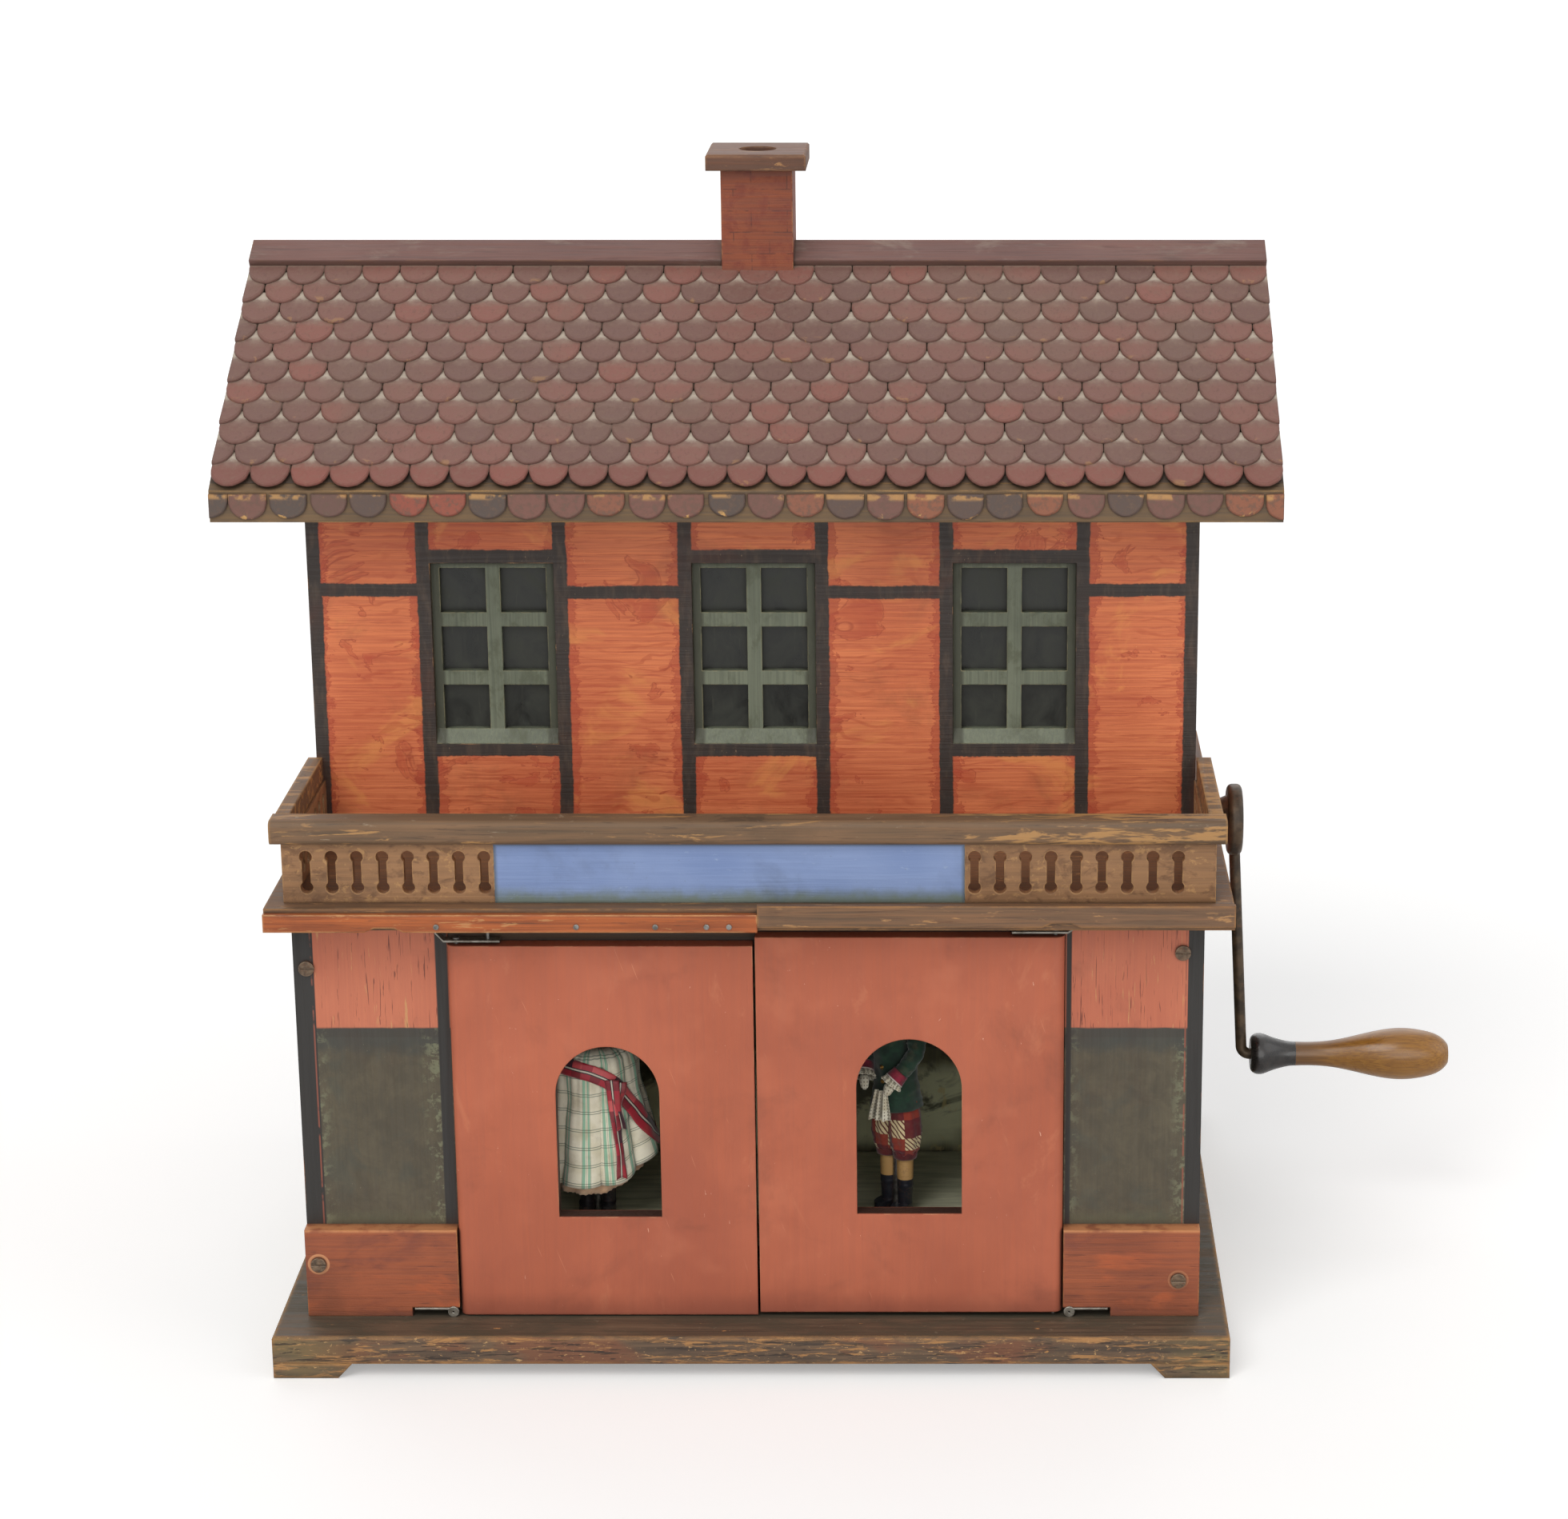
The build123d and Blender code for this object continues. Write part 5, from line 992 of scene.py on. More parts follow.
def piece(name, points, faces, body, material, stands_for=(), smooth=True):
    """Mesh object from house millimetres that rides on a body and takes a slot's finish."""
    mesh = bpy.data.meshes.new(name)
    mesh.from_pydata([at(*point) for point in points], [], faces)
    mesh.materials.append(made[material])
    mesh.polygons.foreach_set("use_smooth", [smooth] * len(mesh.polygons))
    made_piece = bpy.data.objects.new(name, mesh)
    scene.collection.objects.link(made_piece)
    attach(made_piece, body)
    if stands_for:
        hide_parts(*stands_for)
    return made_piece


def remember(made_piece, name, values):
    """Store one number for each vertex, for the material to read."""
    layer = made_piece.data.attributes.new(name, "FLOAT", "POINT")
    layer.data.foreach_set("value", values)


# ---------------------------------------------------------------------------------------------
# Roof tiles: single tongues, each a little crooked, in the rows of the model
# ---------------------------------------------------------------------------------------------

ROOF_PITCH = math.radians(32.0)
HALF_SPAN = 127.0
RIDGE_Y = 172.0
EAVE_Z = 363.8
HALF_ROOF = 219.0
TONGUES = 27
TONGUE_PITCH = 2 * HALF_ROOF / TONGUES
EXPOSURE = 12.4
TILE_LENGTH = 21.5
TILE_THICK = 1.3
TILT = math.asin(TILE_THICK / EXPOSURE)
ROWS = 11


def tile_outline(width, length, tip, wobble):
    """Half-round tongue, from its upper left corner round the tip to its upper right corner."""
    half = width / 2
    outline = [(-half, length)]
    for step in range(13):
        turn = math.pi * step / 12
        dent = 1.0 - wobble.uniform(0.0, 0.035)
        side = 1.0 if step in (0, 12) else dent
        outline.append((-half * math.cos(turn) * side, tip - tip * math.sin(turn) * dent))
    outline.append((half, length))
    return outline


def lay_tile(points, faces, facts, outline, place, twist, crown, tone, course):
    """Add one tile; place turns (x, y, out) on the tile into house millimetres."""
    start = len(points)
    count = len(outline)
    middle = sum(p[1] for p in outline) / count
    for inset, out in ((0.0, 0.0), (0.05, TILE_THICK - 0.45), (0.55, TILE_THICK)):
        for x, y in outline:
            x_in = x - math.copysign(min(inset, abs(x)), x)
            y_in = y + inset if y < middle else y
            x_turned = x_in * math.cos(twist) - y_in * math.sin(twist)
            y_turned = x_in * math.sin(twist) + y_in * math.cos(twist)
            points.append(place(x_turned, y_turned, out + crown * (1 - (x / 8.1) ** 2) * (out > 1.0)))
            facts.append((tone, y, course))
    for ring in (0, 1):
        for i in range(count):
            j = (i + 1) % count
            a, b = start + ring * count + i, start + ring * count + j
            faces.append((a, b, b + count, a + count))
    faces.append(tuple(start + 2 * count + i for i in range(count)))
    faces.append(tuple(start + i for i in reversed(range(count))))


def clamp_x(x):
    return max(-HALF_ROOF, min(HALF_ROOF, x))


def tiled_slope(side, name, node, seed):
    """All the tongues of one slope and the row that hangs on its fascia."""
    wobble = random.Random(seed)
    points, faces, facts = [], [], []
    lean = ROOF_PITCH - TILT
    lift = 19.0 * math.sin(TILT)
    for row in range(ROWS):
        up = row * EXPOSURE
        run = up * math.cos(ROOF_PITCH) - lift * math.sin(ROOF_PITCH)
        base_y = RIDGE_Y + side * (HALF_SPAN - run)
        base_z = EAVE_Z + up * math.sin(ROOF_PITCH) + lift * math.cos(ROOF_PITCH)
        odd = row % 2
        for index in range(TONGUES + odd):
            middle = -HALF_ROOF + (index + 0.5 - 0.5 * odd) * TONGUE_PITCH + wobble.uniform(-0.1, 0.1)
            slip = wobble.uniform(-0.6, 0.6) if row else wobble.uniform(-0.1, 0.3)
            raised = wobble.uniform(0.0, 0.28)

            def place(x, y, out):
                y_on, out_on = y + slip, out + raised * (1 - y / TILE_LENGTH)
                away = y_on * math.cos(lean) - out_on * math.sin(lean)
                rise = y_on * math.sin(lean) + out_on * math.cos(lean)
                return clamp_x(middle + x), base_y - side * away, base_z + rise

            tip = wobble.uniform(9.4, 10.8)
            outline = tile_outline(TONGUE_PITCH - wobble.uniform(0.02, 0.12), TILE_LENGTH, tip, wobble)
            lay_tile(points, faces, facts, outline, place, math.radians(wobble.uniform(-0.8, 0.8)),
                     wobble.uniform(-0.08, 0.2), wobble.random(), 1.0 if row == 0 else 0.0)
    low = EAVE_Z - 13.1 + 1.6
    for index in range(TONGUES + 1):
        middle = -HALF_ROOF + index * TONGUE_PITCH + wobble.uniform(-0.4, 0.4)
        slip = wobble.uniform(-0.7, 0.9)

        def place(x, y, out):
            return clamp_x(middle + x), RIDGE_Y + side * (HALF_SPAN + out * 0.95), low + slip + y

        outline = tile_outline(TONGUE_PITCH - wobble.uniform(0.5, 1.5), 10.2 - slip,
                               wobble.uniform(5.8, 7.6), wobble)
        lay_tile(points, faces, facts, outline, place, math.radians(wobble.uniform(-2.0, 2.0)), 0.1,
                 wobble.random(), 2.0)
    tiles = piece(name, points, faces, "house", "tile_paint", (node,), smooth=False)
    for number, key in enumerate(("tone", "up", "course")):
        remember(tiles, key, [fact[number] for fact in facts])
    return tiles

paint = Paint("tile_paint")
tone = paint.add("ShaderNodeAttribute", out="Fac", attribute_name="tone")
up = paint.add("ShaderNodeAttribute", out="Fac", attribute_name="up")
course = paint.add("ShaderNodeAttribute", out="Fac", attribute_name="course")
fine = paint.noise(2.6, 5.0, 0.68, 0.3)
coat = tone.ramp(0.1, 0.9).between((112, 82, 74), (130, 88, 78))
coat = coat.over(tone.ramp(0.84, 0.95) * 0.3, (142, 80, 68))
coat = coat.blot((114, 90, 78), 0.5, 0.7, 0.6, 70.0, 4.0, 0.6, 0.3)
brushed = paint.noise(1.3, 3.0, 0.6, 0.3, (1, 5, 1), 17.0)
coat = coat.over(brushed.ramp(0.55, 0.7, 0.0, 0.35), (90, 62, 54))
bottom = course.ramp(0.5, 1.0) * course.ramp(1.5, 1.9, 1.0, 0.0)
coat = coat.over(bottom * 0.4, (138, 70, 58))
fringe = course.ramp(1.5, 2.0)
fringe_tone = tone.ramp(0.1, 0.6).between((84, 74, 68), (122, 84, 74))
fringe_tone = fringe_tone.over(tone.ramp(0.7, 0.8), (146, 92, 68))
fringe_tone = fringe_tone.over(tone.ramp(0.93, 0.94), (150, 80, 64))
fringe_tone = fringe_tone.over(fine.ramp(0.46, 0.66, 0.0, 0.65), (80, 62, 52))
snapped = up.ramp(7.6, 9.2) * paint.noise(12.0, 4.0, 0.6, shift=44.0).ramp(0.5, 0.58)
fringe_tone = fringe_tone.over(snapped * 0.8, (200, 152, 92))
coat = coat.over(fringe * 0.9, fringe_tone)
on_slope = 1 - fringe
dust_place = up + fine * 6.0
dust = dust_place.ramp(12.0, 20.0, 0.0, 0.9) * on_slope
dust_tone = paint.noise(4.0, 4.0, 0.6).ramp(0.3, 0.7).between((124, 100, 90), (150, 130, 116))
coat = coat.over(dust, dust_tone)
coat = coat.over(dust_place.ramp(17.2, 21.0, 0.0, 0.9) * on_slope, (196, 184, 168))
haze = fine.ramp(0.45, 0.7) * 0.3
coat = coat.over(haze, (138, 116, 102))
# Painted shade: a dark line along the lower lip of each tile, where the shadow under the lip falls.
rim = paint.edges(0.9) * up.ramp(8.5, 11.0, 1.0, 0.0)
coat = coat.over(rim * 0.5, (84, 50, 42))
rub = up.ramp(1.0, 3.4, 1.0, 0.0) * paint.noise(9.0, 5.0, 0.65, 0.4, shift=5.0).ramp(0.6, 0.65)
coat = coat.over(rub * (0.25 + fringe * 0.65), (204, 158, 96))
gap = paint.corners(2.4).ramp(0.3, 0.8, 0.0, 0.8)
coat = coat.over(gap * (up.ramp(6.0, 9.0) * on_slope), (156, 140, 124))
shade = up.ramp(6.0, 3.0) | fringe
coat = coat.over(gap * shade, (74, 48, 40))
paint.finish(coat, fine.ramp(0.3, 0.7, 0.6, 0.8), fine + brushed, 0.5, 0.18)

tiled_slope(-1, "roof_tiles_front", "shingles_front", 11)
tiled_slope(1, "roof_tiles_back", "shingles_back", 12)


# ---------------------------------------------------------------------------------------------
# Cloth: thin shells with their weave and colours placed by the cloth's own width and length
# ---------------------------------------------------------------------------------------------

def stand(dancer, x, y, z):
    """House place of a point measured from a dancer's own middle, whose front looks to minus Y."""
    _, across, back, turn = dancer
    return (across + x * math.cos(turn) - y * math.sin(turn),
            back + x * math.sin(turn) + y * math.cos(turn), z)


def circle(count):
    """Angles of the points of a ring."""
    return [2 * math.pi * j / count for j in range(count)]


def shares(count):
    """Even steps from 0 to 1."""
    return [i / (count - 1) for i in range(count)]


def shell(name, rows, dancer, material, thick, cut, closed=True, stands_for=(), turned=False):
    """Cloth from rows of points on a dancer's body, given a thickness on its inner side.

    Closed rows are rings. The cut is the cloth's width and length in millimetres, and places its
    pattern, which runs along the rows where it is turned.
    """
    width, length = cut
    count, high = len(rows[0]), len(rows)
    grid = [[Vector(point) for point in row] for row in rows]

    def normal(i, j):
        before, after = j - 1, j + 1
        if closed:
            after %= count
        else:
            before, after = max(before, 0), min(after, count - 1)
        across = grid[i][after] - grid[i][before]
        along = grid[min(i + 1, high - 1)][j] - grid[max(i - 1, 0)][j]
        return across.cross(along).normalized()

    points = [tuple(point) for row in grid for point in row]
    points += [tuple(grid[i][j] - thick * normal(i, j)) for i in range(high) for j in range(count)]
    inner = high * count
    faces, marks = [], []
    spans = count if closed else count - 1
    for i in range(high - 1):
        for j in range(spans):
            k = (j + 1) % count
            a, b, c, d = i * count + j, i * count + k, (i + 1) * count + k, (i + 1) * count + j
            near, far = j * width / spans, (j + 1) * width / spans
            top, low = i * length / (high - 1), (i + 1) * length / (high - 1)
            faces.append((a, b, c, d))
            marks.append(((near, top), (far, top), (far, low), (near, low)))
            faces.append((inner + d, inner + c, inner + b, inner + a))
            marks.append(((near, low), (far, low), (far, top), (near, top)))
    for i, flip in ((0, True), (high - 1, False)):
        for j in range(spans):
            k = (j + 1) % count
            rim = (i * count + j, i * count + k, inner + i * count + k, inner + i * count + j)
            near, far, level = j * width / spans, (j + 1) * width / spans, i * length / (high - 1)
            corner = ((near, level), (far, level), (far, level), (near, level))
            faces.append(tuple(reversed(rim)) if flip else rim)
            marks.append(tuple(reversed(corner)) if flip else corner)
    if not closed:
        for j, flip in ((0, False), (count - 1, True)):
            for i in range(high - 1):
                rim = (i * count + j, (i + 1) * count + j, inner + (i + 1) * count + j, inner + i * count + j)
                side, top, low = j * width / spans, i * length / (high - 1), (i + 1) * length / (high - 1)
                corner = ((side, top), (side, low), (side, low), (side, top))
                faces.append(tuple(reversed(rim)) if flip else rim)
                marks.append(tuple(reversed(corner)) if flip else corner)
    cloth = piece(name, points, faces, dancer[0], material, stands_for)
    layer = cloth.data.uv_layers.new(name="cloth")
    layer.data.foreach_set("uv", [value for face in marks for mark in face
                                  for value in (reversed(mark) if turned else mark)])
    return cloth


def steps(pairs, value):
    """Smooth value between (place, value) pairs."""
    for (a, low), (b, high) in zip(pairs, pairs[1:]):
        if value <= b:
            share = max(0.0, (value - a) / (b - a))
            return low + (high - low) * share * share * (3 - 2 * share)
    return pairs[-1][1]


def around(pairs, degrees):
    """Smooth value on a circle between (degrees, value) pairs, whose first and last are the same place."""
    inner = pairs[:-1]
    count = len(inner)
    degrees = (degrees + 180) % 360 - 180
    index = max(i for i in range(count) if inner[i][0] <= degrees)
    turns = [inner[(index + k) % count][0] + 360 * ((index + k) // count) for k in (-1, 0, 1, 2)]
    values = [inner[(index + k) % count][1] for k in (-1, 0, 1, 2)]
    share = (degrees - turns[1]) / (turns[2] - turns[1])
    rise = (values[2] - values[0]) / (turns[2] - turns[0]) * (turns[2] - turns[1])
    leave = (values[3] - values[1]) / (turns[3] - turns[1]) * (turns[2] - turns[1])
    return (values[1] * (2 * share ** 3 - 3 * share ** 2 + 1) + rise * (share ** 3 - 2 * share ** 2 + share)
            + values[2] * (3 * share ** 2 - 2 * share ** 3) + leave * (share ** 3 - share ** 2))


# ---------------------------------------------------------------------------------------------
# The woman's skirt, petticoat and ribbon
# ---------------------------------------------------------------------------------------------

SKIRT_FOLDS = 9
SKIRT_WAIST_Z = 129.0
SKIRT_HEM_Z = 69.5
SKIRT_CUT = (175.0, 66.0)
SKIRT_RADII = ((0.0, 8.0), (0.045, 14.6), (0.09, 17.2), (0.2, 18.0), (0.35, 18.2), (0.6, 19.6), (0.8, 21.2),
               (1.0, 22.8))
PETTICOAT_CUT = (118.0, 22.0)
PETTICOAT_TOP_Z = 86.0
SASH_HEIGHTS = ((-180, 117.0), (-140, 121.5), (-110, 121.5), (-85, 119.5), (-60, 114.5), (-35, 103.0),
                (-12, 89.0), (6, 85.0), (40, 93.0), (90, 107.0), (135, 114.0), (180, 117.0))
SASH_WIDTH = 7.0
SASH_LENGTH = 128.0
SASH_RADIUS = 19.0


def lifted(turn):
    """How much the hem is swept up: most on the right."""
    off = math.atan2(math.sin(turn + 0.2), math.cos(turn + 0.2))
    return math.exp(-(off / 0.75) ** 2)


def hem_z(turn):
    return SKIRT_HEM_Z + 12.0 * lifted(turn) + 0.7 * math.sin(3 * turn + 1.0)


def skirt_radius(turn, drop, bridge=0.0):
    """Radius of the skirt; bridge fills the valleys, as a ribbon drawn over the folds does."""
    round_form = steps(SKIRT_RADII, drop) + 4.4 * lifted(turn) * drop ** 1.6
    swing = SKIRT_FOLDS / 2 * turn + 0.5 * math.sin(2 * turn + 0.5) + 0.35 * drop
    fold = max(abs(math.sin(swing)) ** 0.75, bridge)
    depth = 0.5 + 3.9 * drop ** 0.9
    gathers = 0.32 * (1 - drop) ** 1.5 * math.sin(31 * turn)
    crumple = noise.noise(Vector((2.2 * math.cos(turn), 2.2 * math.sin(turn), 4.0 * drop)))
    return round_form + depth * (fold - 0.72) + gathers * (1 - bridge) + 0.7 * crumple


def skirt_place(turn, drop, out=0.0, bridge=0.0):
    radius = skirt_radius(turn, drop, bridge) + out
    z = SKIRT_WAIST_Z + (hem_z(turn) - SKIRT_WAIST_Z) * drop
    return stand(WOMAN, radius * math.cos(turn), radius * math.sin(turn), z)


def drop_at(turn, z):
    return (SKIRT_WAIST_Z - z) / (SKIRT_WAIST_Z - hem_z(turn))


def petticoat_place(turn, share):
    low = 65.0 + 9.0 * lifted(turn) + 0.45 * abs(math.sin(27 * turn))
    radius = 15.2 + 3.1 * share + 2.4 * lifted(turn) * share + 0.7 * share * math.sin(13 * turn)
    z = PETTICOAT_TOP_Z + (low - PETTICOAT_TOP_Z) * share
    return stand(WOMAN, radius * math.cos(turn), radius * math.sin(turn), z)


def sash_place(turn, across):
    """Place on the ribbon that is drawn round the skirt, on a slope that follows its heights."""
    degrees = math.degrees(math.atan2(math.sin(turn), math.cos(turn)))
    rise = around(SASH_HEIGHTS, degrees + 4) - around(SASH_HEIGHTS, degrees - 4)
    lean = math.atan(rise / (math.radians(8) * SASH_RADIUS))
    z = around(SASH_HEIGHTS, degrees) + across * math.cos(lean)
    slid = turn - across * math.sin(lean) / SASH_RADIUS
    cup = 0.55 - 0.18 * (2 * across / SASH_WIDTH) ** 2
    return skirt_place(slid, max(0.02, drop_at(slid, z)), cup, 0.86)


def ribbon_end(name, turn, top_z, low_z, sway, wide, narrow, out):
    """One loose end of the ribbon that hangs down the front of the skirt, twisted a little."""
    rows = []
    for share in shares(31):
        z = top_z + (low_z - top_z) * share
        middle = turn + sway * math.sin(2.4 * share) / SASH_RADIUS
        half = 0.5 * (wide + (narrow - wide) * min(1.0, 1.6 * share))
        twist = 0.55 * math.sin(5.0 * share + out)
        row = []
        for j in range(7):
            across = (j / 6 - 0.5) * 2 * half
            swallow = 1.2 * abs(j / 3 - 1) * (share > 0.96)
            slid = middle + across * math.cos(twist) / SASH_RADIUS
            lift = out + across * math.sin(twist) + 0.4 * math.sin(9 * share)
            row.append(skirt_place(slid, drop_at(slid, z - swallow), max(0.5, lift + 0.7), 0.9))
        rows.append(row)
    shell(name, rows, WOMAN, "ribbon_silk", 0.25, (SASH_WIDTH, top_z - low_z), closed=False)


skirt = shell("skirt_cotton", [[skirt_place(turn, 0.015 + 0.985 * row / 36) for turn in circle(240)]
                               for row in range(37)],
              WOMAN, "plaid_cotton", 0.4, SKIRT_CUT, stands_for=("dancer_left_skirt",))
petticoat = shell("petticoat", [[petticoat_place(turn, share) for turn in circle(216)]
                                for share in shares(13)],
                  WOMAN, "peach_cotton", 0.35, PETTICOAT_CUT)
shell("skirt_sash", [[sash_place(turn, (0.5 - share) * SASH_WIDTH) for turn in circle(240)]
                     for share in shares(9)],
      WOMAN, "ribbon_silk", 0.25, (SASH_LENGTH, SASH_WIDTH),
      stands_for=("dancer_left_ribbon",), turned=True)
ribbon_end("ribbon_end_long", math.radians(-64), 117.0, 75.5, 1.2, 5.6, 3.4, 0.9)
ribbon_end("ribbon_end_short", math.radians(-53), 115.5, 96.0, -1.6, 5.0, 3.8, 1.3)


# ---------------------------------------------------------------------------------------------
# The man's clothes, the woman's sleeves, and both heads
# ---------------------------------------------------------------------------------------------

def tube(dancer, stations, sides, rows, wrinkle=0.0, folds=0, fold_depth=0.0, seed=0.0, flat=1.0):
    """Rings of points about a bent line; each station is (x, y, z, radius) from the dancer's middle.

    Wrinkles run round the tube and folds run along it; flat narrows the tube from front to back.
    """
    marks = [Vector(station[:3]) for station in stations]
    rings = []
    for row in range(rows):
        place = row / (rows - 1) * (len(stations) - 1)
        index = min(int(place), len(stations) - 2)
        share = place - index
        smooth = share * share * (3 - 2 * share)
        centre = marks[index].lerp(marks[index + 1], share)
        before = marks[max(index - 1, 0)]
        after = marks[min(index + 2, len(marks) - 1)]
        direction = (marks[index + 1] - marks[index]).normalized()
        lead = (marks[index] - before).normalized() if index else direction
        follow = (after - marks[index + 1]).normalized() if index + 2 < len(marks) else direction
        if share < 0.5:
            axis = lead.lerp(direction, 0.5 + share).normalized()
        else:
            axis = direction.lerp(follow, share - 0.5).normalized()
        radius = stations[index][3] + (stations[index + 1][3] - stations[index][3]) * smooth
        first = axis.cross(Vector((0, 1, 0.01))).normalized()
        second = axis.cross(first)
        ring = []
        for turn in circle(sides):
            grain = noise.noise(Vector((1.5 * math.cos(turn), 1.5 * math.sin(turn), 0.8 * row + seed)))
            grown = radius + wrinkle * grain + fold_depth * math.sin(folds * turn + seed + 0.1 * row)
            point = centre + grown * (math.cos(turn) * first + flat * math.sin(turn) * second)
            ring.append(stand(dancer, *point))
        rings.append(ring)
    return rings


def sewn(name, cloth, thick, cut, shape, *stations, side=1, dancer=None, slot="jacket_cloth", stands_for=()):
    """Closed tube of cloth about stations on the right side, or turned over to the left side."""
    dancer = dancer or MAN
    line = [(side * x, y, z, radius) for x, y, z, radius in stations]
    shell(name, tube(dancer, line, *shape), dancer, cloth, thick, cut, stands_for=stands_for)


sewn("jacket_body", "green_wool", 0.5, (62.0, 47.0), (72, 46, 0.5, 7, 0.22, 1.0),
     (0, 0, 146.5, 3.9), (0, 0, 143.5, 8.0), (0, 0, 137.0, 10.2), (0, 0, 124.0, 9.7), (0, 0, 113.0, 9.0),
     (0, 0, 106.0, 10.0), (0, 0, 99.5, 11.2), stands_for=("dancer_right_clothes",))
for side, label in ((-1, "left"), (1, "right")):
    sewn("breeches_" + label, "patched_cloth", 0.4, (43.4, 24.0), (54, 26, 0.5, 9, 0.3, 2.0 + side),
         (3.2, 0, 103.0, 6.6), (4.2, 0, 95.0, 7.0), (4.7, 0, 87.0, 7.1), (4.7, 0, 81.5, 6.2),
         (4.6, 0, 78.6, 4.9), side=side)
    sewn("knee_band_" + label, "dark_red_band", 0.7, (32.0, 3.2), (36, 6),
         (4.6, 0, 79.6, 5.15), (4.6, 0, 78.6, 5.35), (4.6, 0, 76.4, 5.0), side=side)
    sewn("sleeve_" + label, "green_wool", 0.5, (24.0, 34.0), (40, 40, 0.7, 0, 0.0, 5.0 * side),
         (8.0, 0, 140.5, 3.4), (10.4, 0, 138.0, 4.3), (12.2, -1.5, 132.0, 4.0), (13.4, -3.2, 126.5, 3.6),
         (11.2, -6.6, 121.0, 3.5), (9.0, -9.8, 117.2, 3.1), side=side)
    sewn("cuff_" + label, "crimson_cuff", 0.5, (26.0, 3.6), (40, 8),
         (9.7, -8.8, 118.5, 3.7), (8.4, -10.7, 116.2, 4.1), (7.9, -11.5, 115.3, 4.4), side=side)
    sewn("lace_frill_" + label, "white_lace", 0.25, (40.0, 4.2), (90, 8, 0.2, 11, 0.55),
         (8.3, -10.8, 116.0, 3.2), (7.6, -11.8, 114.8, 3.9), (7.0, -12.6, 113.6, 4.7), side=side)
    sewn("hand_" + label, "white_lace", 0.3, (14.0, 9.0), (24, 16, 0.1, 4, 0.12, 0.0, 0.75),
         (8.0, -11.3, 115.4, 1.7), (7.4, -12.4, 114.0, 2.2), (6.6, -13.4, 112.0, 2.4),
         (6.0, -14.0, 110.0, 1.9), (5.8, -14.2, 108.8, 0.7), side=side, slot="doll_paint")

for dancer, label in ((WOMAN, "woman"), (MAN, "man")):
    cap = []
    for share in shares(26):
        tilt = math.pi * (0.02 + 0.64 * share)
        ring = []
        for turn in circle(96):
            radius = 8.75 + 0.14 * math.sin(24 * turn + 2 * tilt) + 0.1 * math.sin(57 * turn)
            facing = max(0.0, -math.sin(turn)) ** 0.6 * min(1.0, max(0.0, (tilt - 0.62) / 0.3))
            reach = radius * (1 - 0.42 * facing)
            ring.append(stand(dancer, reach * math.sin(tilt) * math.cos(turn) * 0.97,
                              1.5 + reach * math.sin(tilt) * math.sin(turn), 162.6 + reach * math.cos(tilt)))
        cap.append(ring)
    shell("hair_" + label, cap, dancer, "doll_hair", 0.5, (40.0, 20.0))

bun = []
for share in shares(22):
    tilt = math.pi * (0.03 + 0.94 * share)
    ring = []
    for turn in circle(64):
        radius = 4.1 + 0.35 * math.sin(4 * turn + 5 * tilt)
        ring.append(stand(WOMAN, radius * math.sin(tilt) * math.cos(turn),
                          10.6 - 0.8 * radius * math.cos(tilt),
                          163.5 + radius * math.sin(tilt) * math.sin(turn)))
    bun.append(ring)
shell("hair_bun", bun[::-1], WOMAN, "doll_hair", 0.5, (26.0, 12.0))

for side, label in ((-1, "left"), (1, "right")):
    sewn("blouse_sleeve_" + label, "white_lace", 0.35, (30.0, 15.0), (60, 26, 0.4, 13, 0.22, 2.0 * side),
         (6.4, 0, 142.0, 2.8), (8.4, 0, 140.6, 4.4), (10.6, 0.2, 136.6, 5.2), (12.2, 0.4, 132.6, 4.3),
         (12.9, 0.4, 130.8, 3.1), (13.3, 0.4, 129.8, 3.5), side=side, dancer=WOMAN, slot="skirt_cloth")
sewn("hat_brim", "black_felt", 0.6, (60.0, 12.0), (64, 18, 0.15),
     (0, 1.4, 171.6, 7.6), (0, 1.4, 170.2, 8.6), (0, 1.4, 168.6, 9.0), (0, 1.4, 168.0, 12.6))
sewn("hat_crown", "green_wool", 0.6, (46.0, 12.0), (64, 18, 0.1),
     (0, 1.4, 175.4, 0.6), (0, 1.4, 175.8, 5.6), (0, 1.4, 174.8, 7.2), (0, 1.4, 170.4, 7.9))
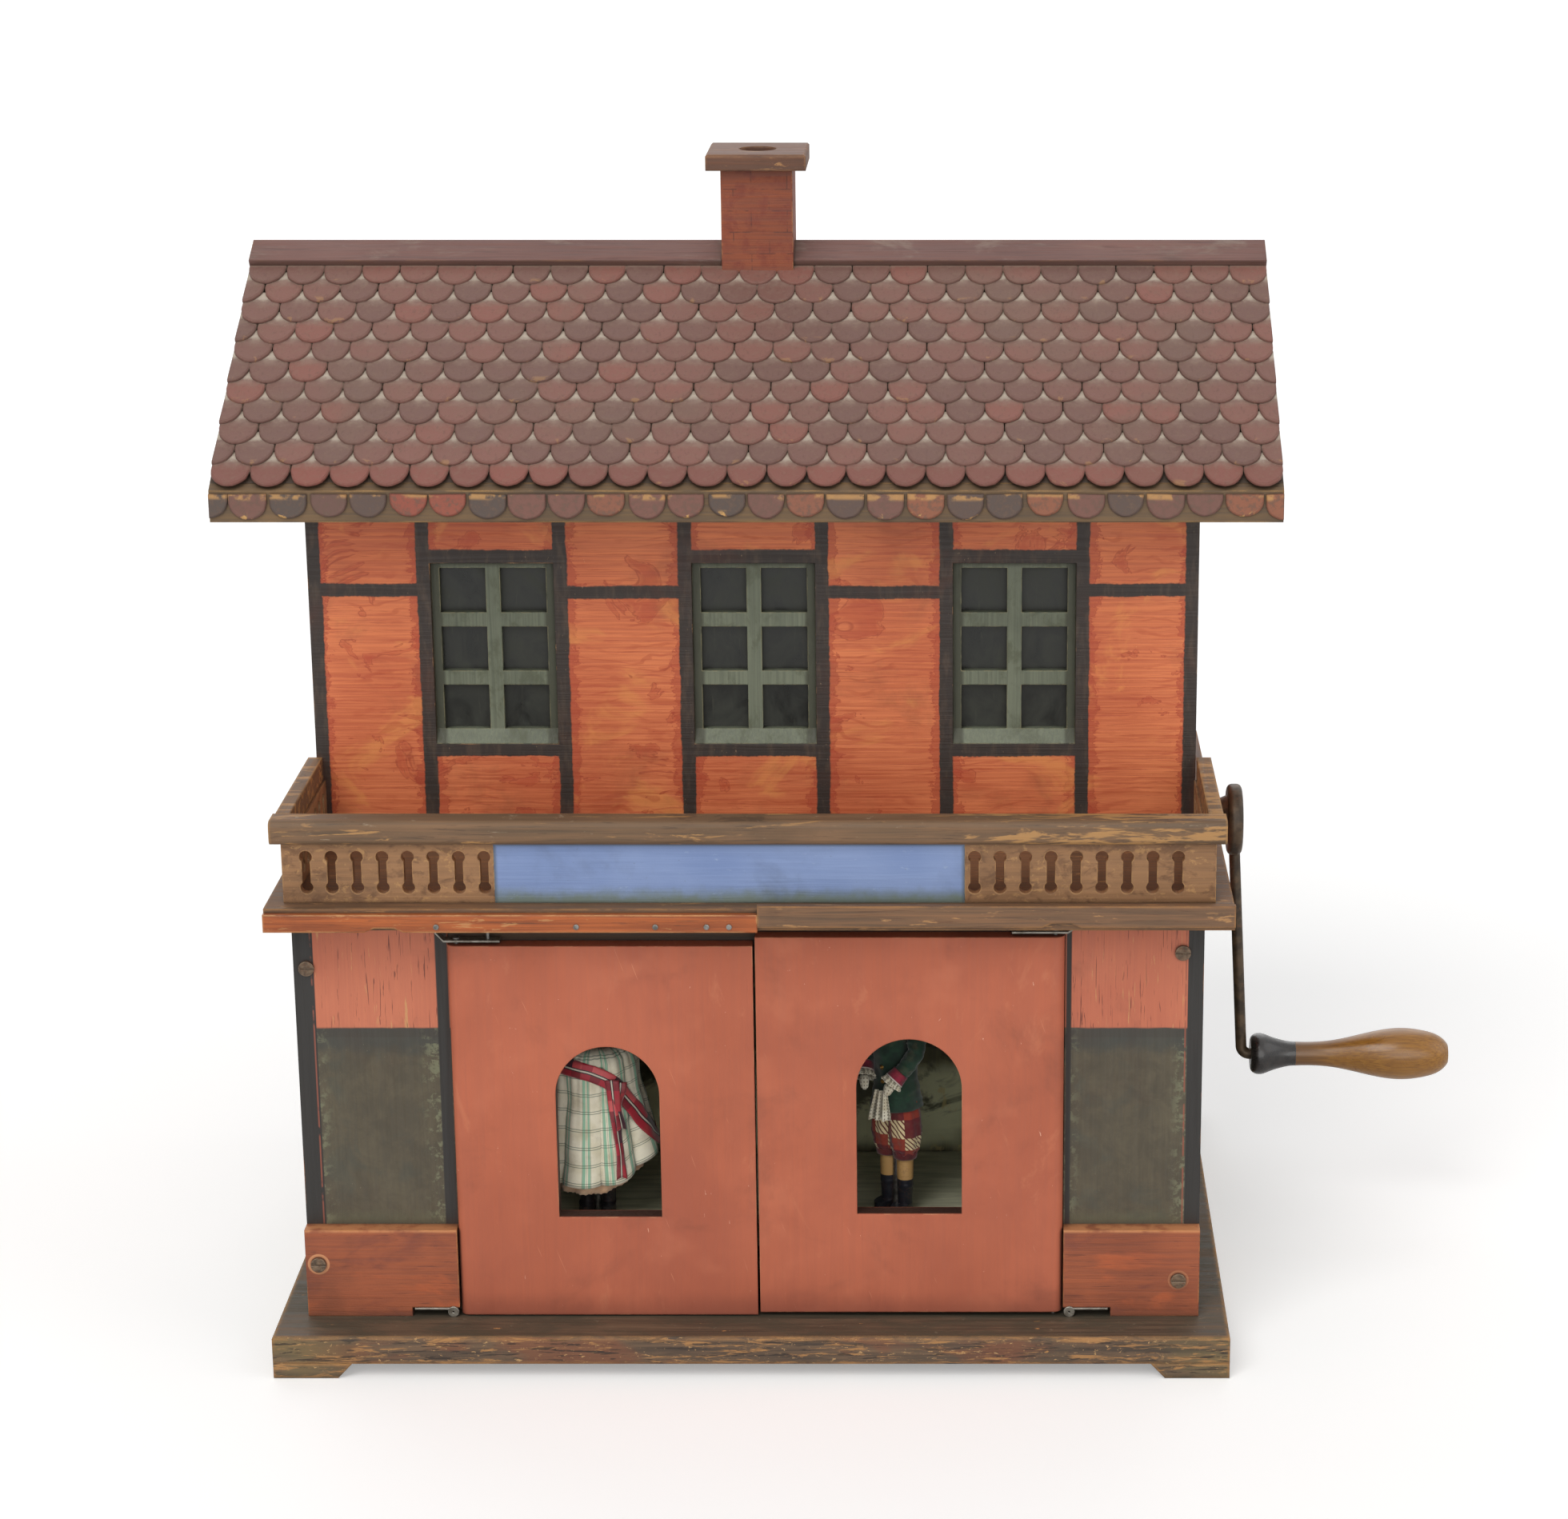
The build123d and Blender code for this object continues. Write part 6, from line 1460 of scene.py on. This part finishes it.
sewn("hat_band", "dark_red_band", 0.3, (52.0, 2.2), (64, 5),
     (0, 1.4, 172.2, 8.1), (0, 1.4, 171.2, 8.4), (0, 1.4, 170.0, 8.7))
sewn("shirt_collar", "white_lace", 0.3, (44.0, 6.0), (64, 14, 0.1, 9, 0.15),
     (0, 0, 149.4, 4.1), (0, 0, 148.2, 4.7), (0, 0, 145.6, 6.8), (0, 0, 144.6, 8.4))

BUTTON_RADIUS = 0.95
BUTTON_PROFILE = ((0.05, 0.9), (0.5, 0.8), (0.8, 0.45), (0.86, 0.3), (1.0, 0.35), (1.0, 0.0))
for index in range(5):
    front, up = -9.3 + 0.25 * abs(index - 3), 138.0 - 6.4 * index
    rings = [[stand(MAN, BUTTON_RADIUS * reach * math.cos(turn), front - BUTTON_RADIUS * rise,
                    up + BUTTON_RADIUS * reach * math.sin(turn)) for turn in circle(20)]
             for reach, rise in BUTTON_PROFILE]
    shell(f"jacket_button_{index + 1}", rings, MAN, "brass", 0.1, (1.0, 1.0))

LACE_CUT = (22.0, 12.6)
fall_rows = []
for share in shares(22):
    row = []
    for place in shares(61):
        across = place - 0.5
        wave = math.sin(5.5 * math.pi * across + 0.6) * (0.5 + 1.3 * share)
        ripple = 0.5 * abs(math.sin(30 * across)) * (share > 0.95)
        half = 6.2 + 4.2 * share
        row.append(stand(MAN, 3.4 + across * half, -14.2 - 0.8 * share + 0.9 * wave,
                         110.5 - 12.5 * share - ripple + 1.2 * across * share))
    fall_rows.append(row)
lace_fall = shell("lace_fall", fall_rows, MAN, "white_lace", 0.25, LACE_CUT, closed=False)


# ---------------------------------------------------------------------------------------------
# Sheets of cloth with the width, length and area that each was cut to, and the end
# ---------------------------------------------------------------------------------------------

SHEETS = (
    (skirt, *SKIRT_CUT, 8240.0, "gathered", ["dancer_left_figure"]),
    (petticoat, *PETTICOAT_CUT, 2160.0, "gathered", ["dancer_left_figure"]),
    (lace_fall, *LACE_CUT, 195.0, "hung", ["hand_left"]),
)
for cloth, width, length, cut_area, held, resting in SHEETS:
    width * MM
    length * MM
    cut_area * MM * MM
    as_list(resting)
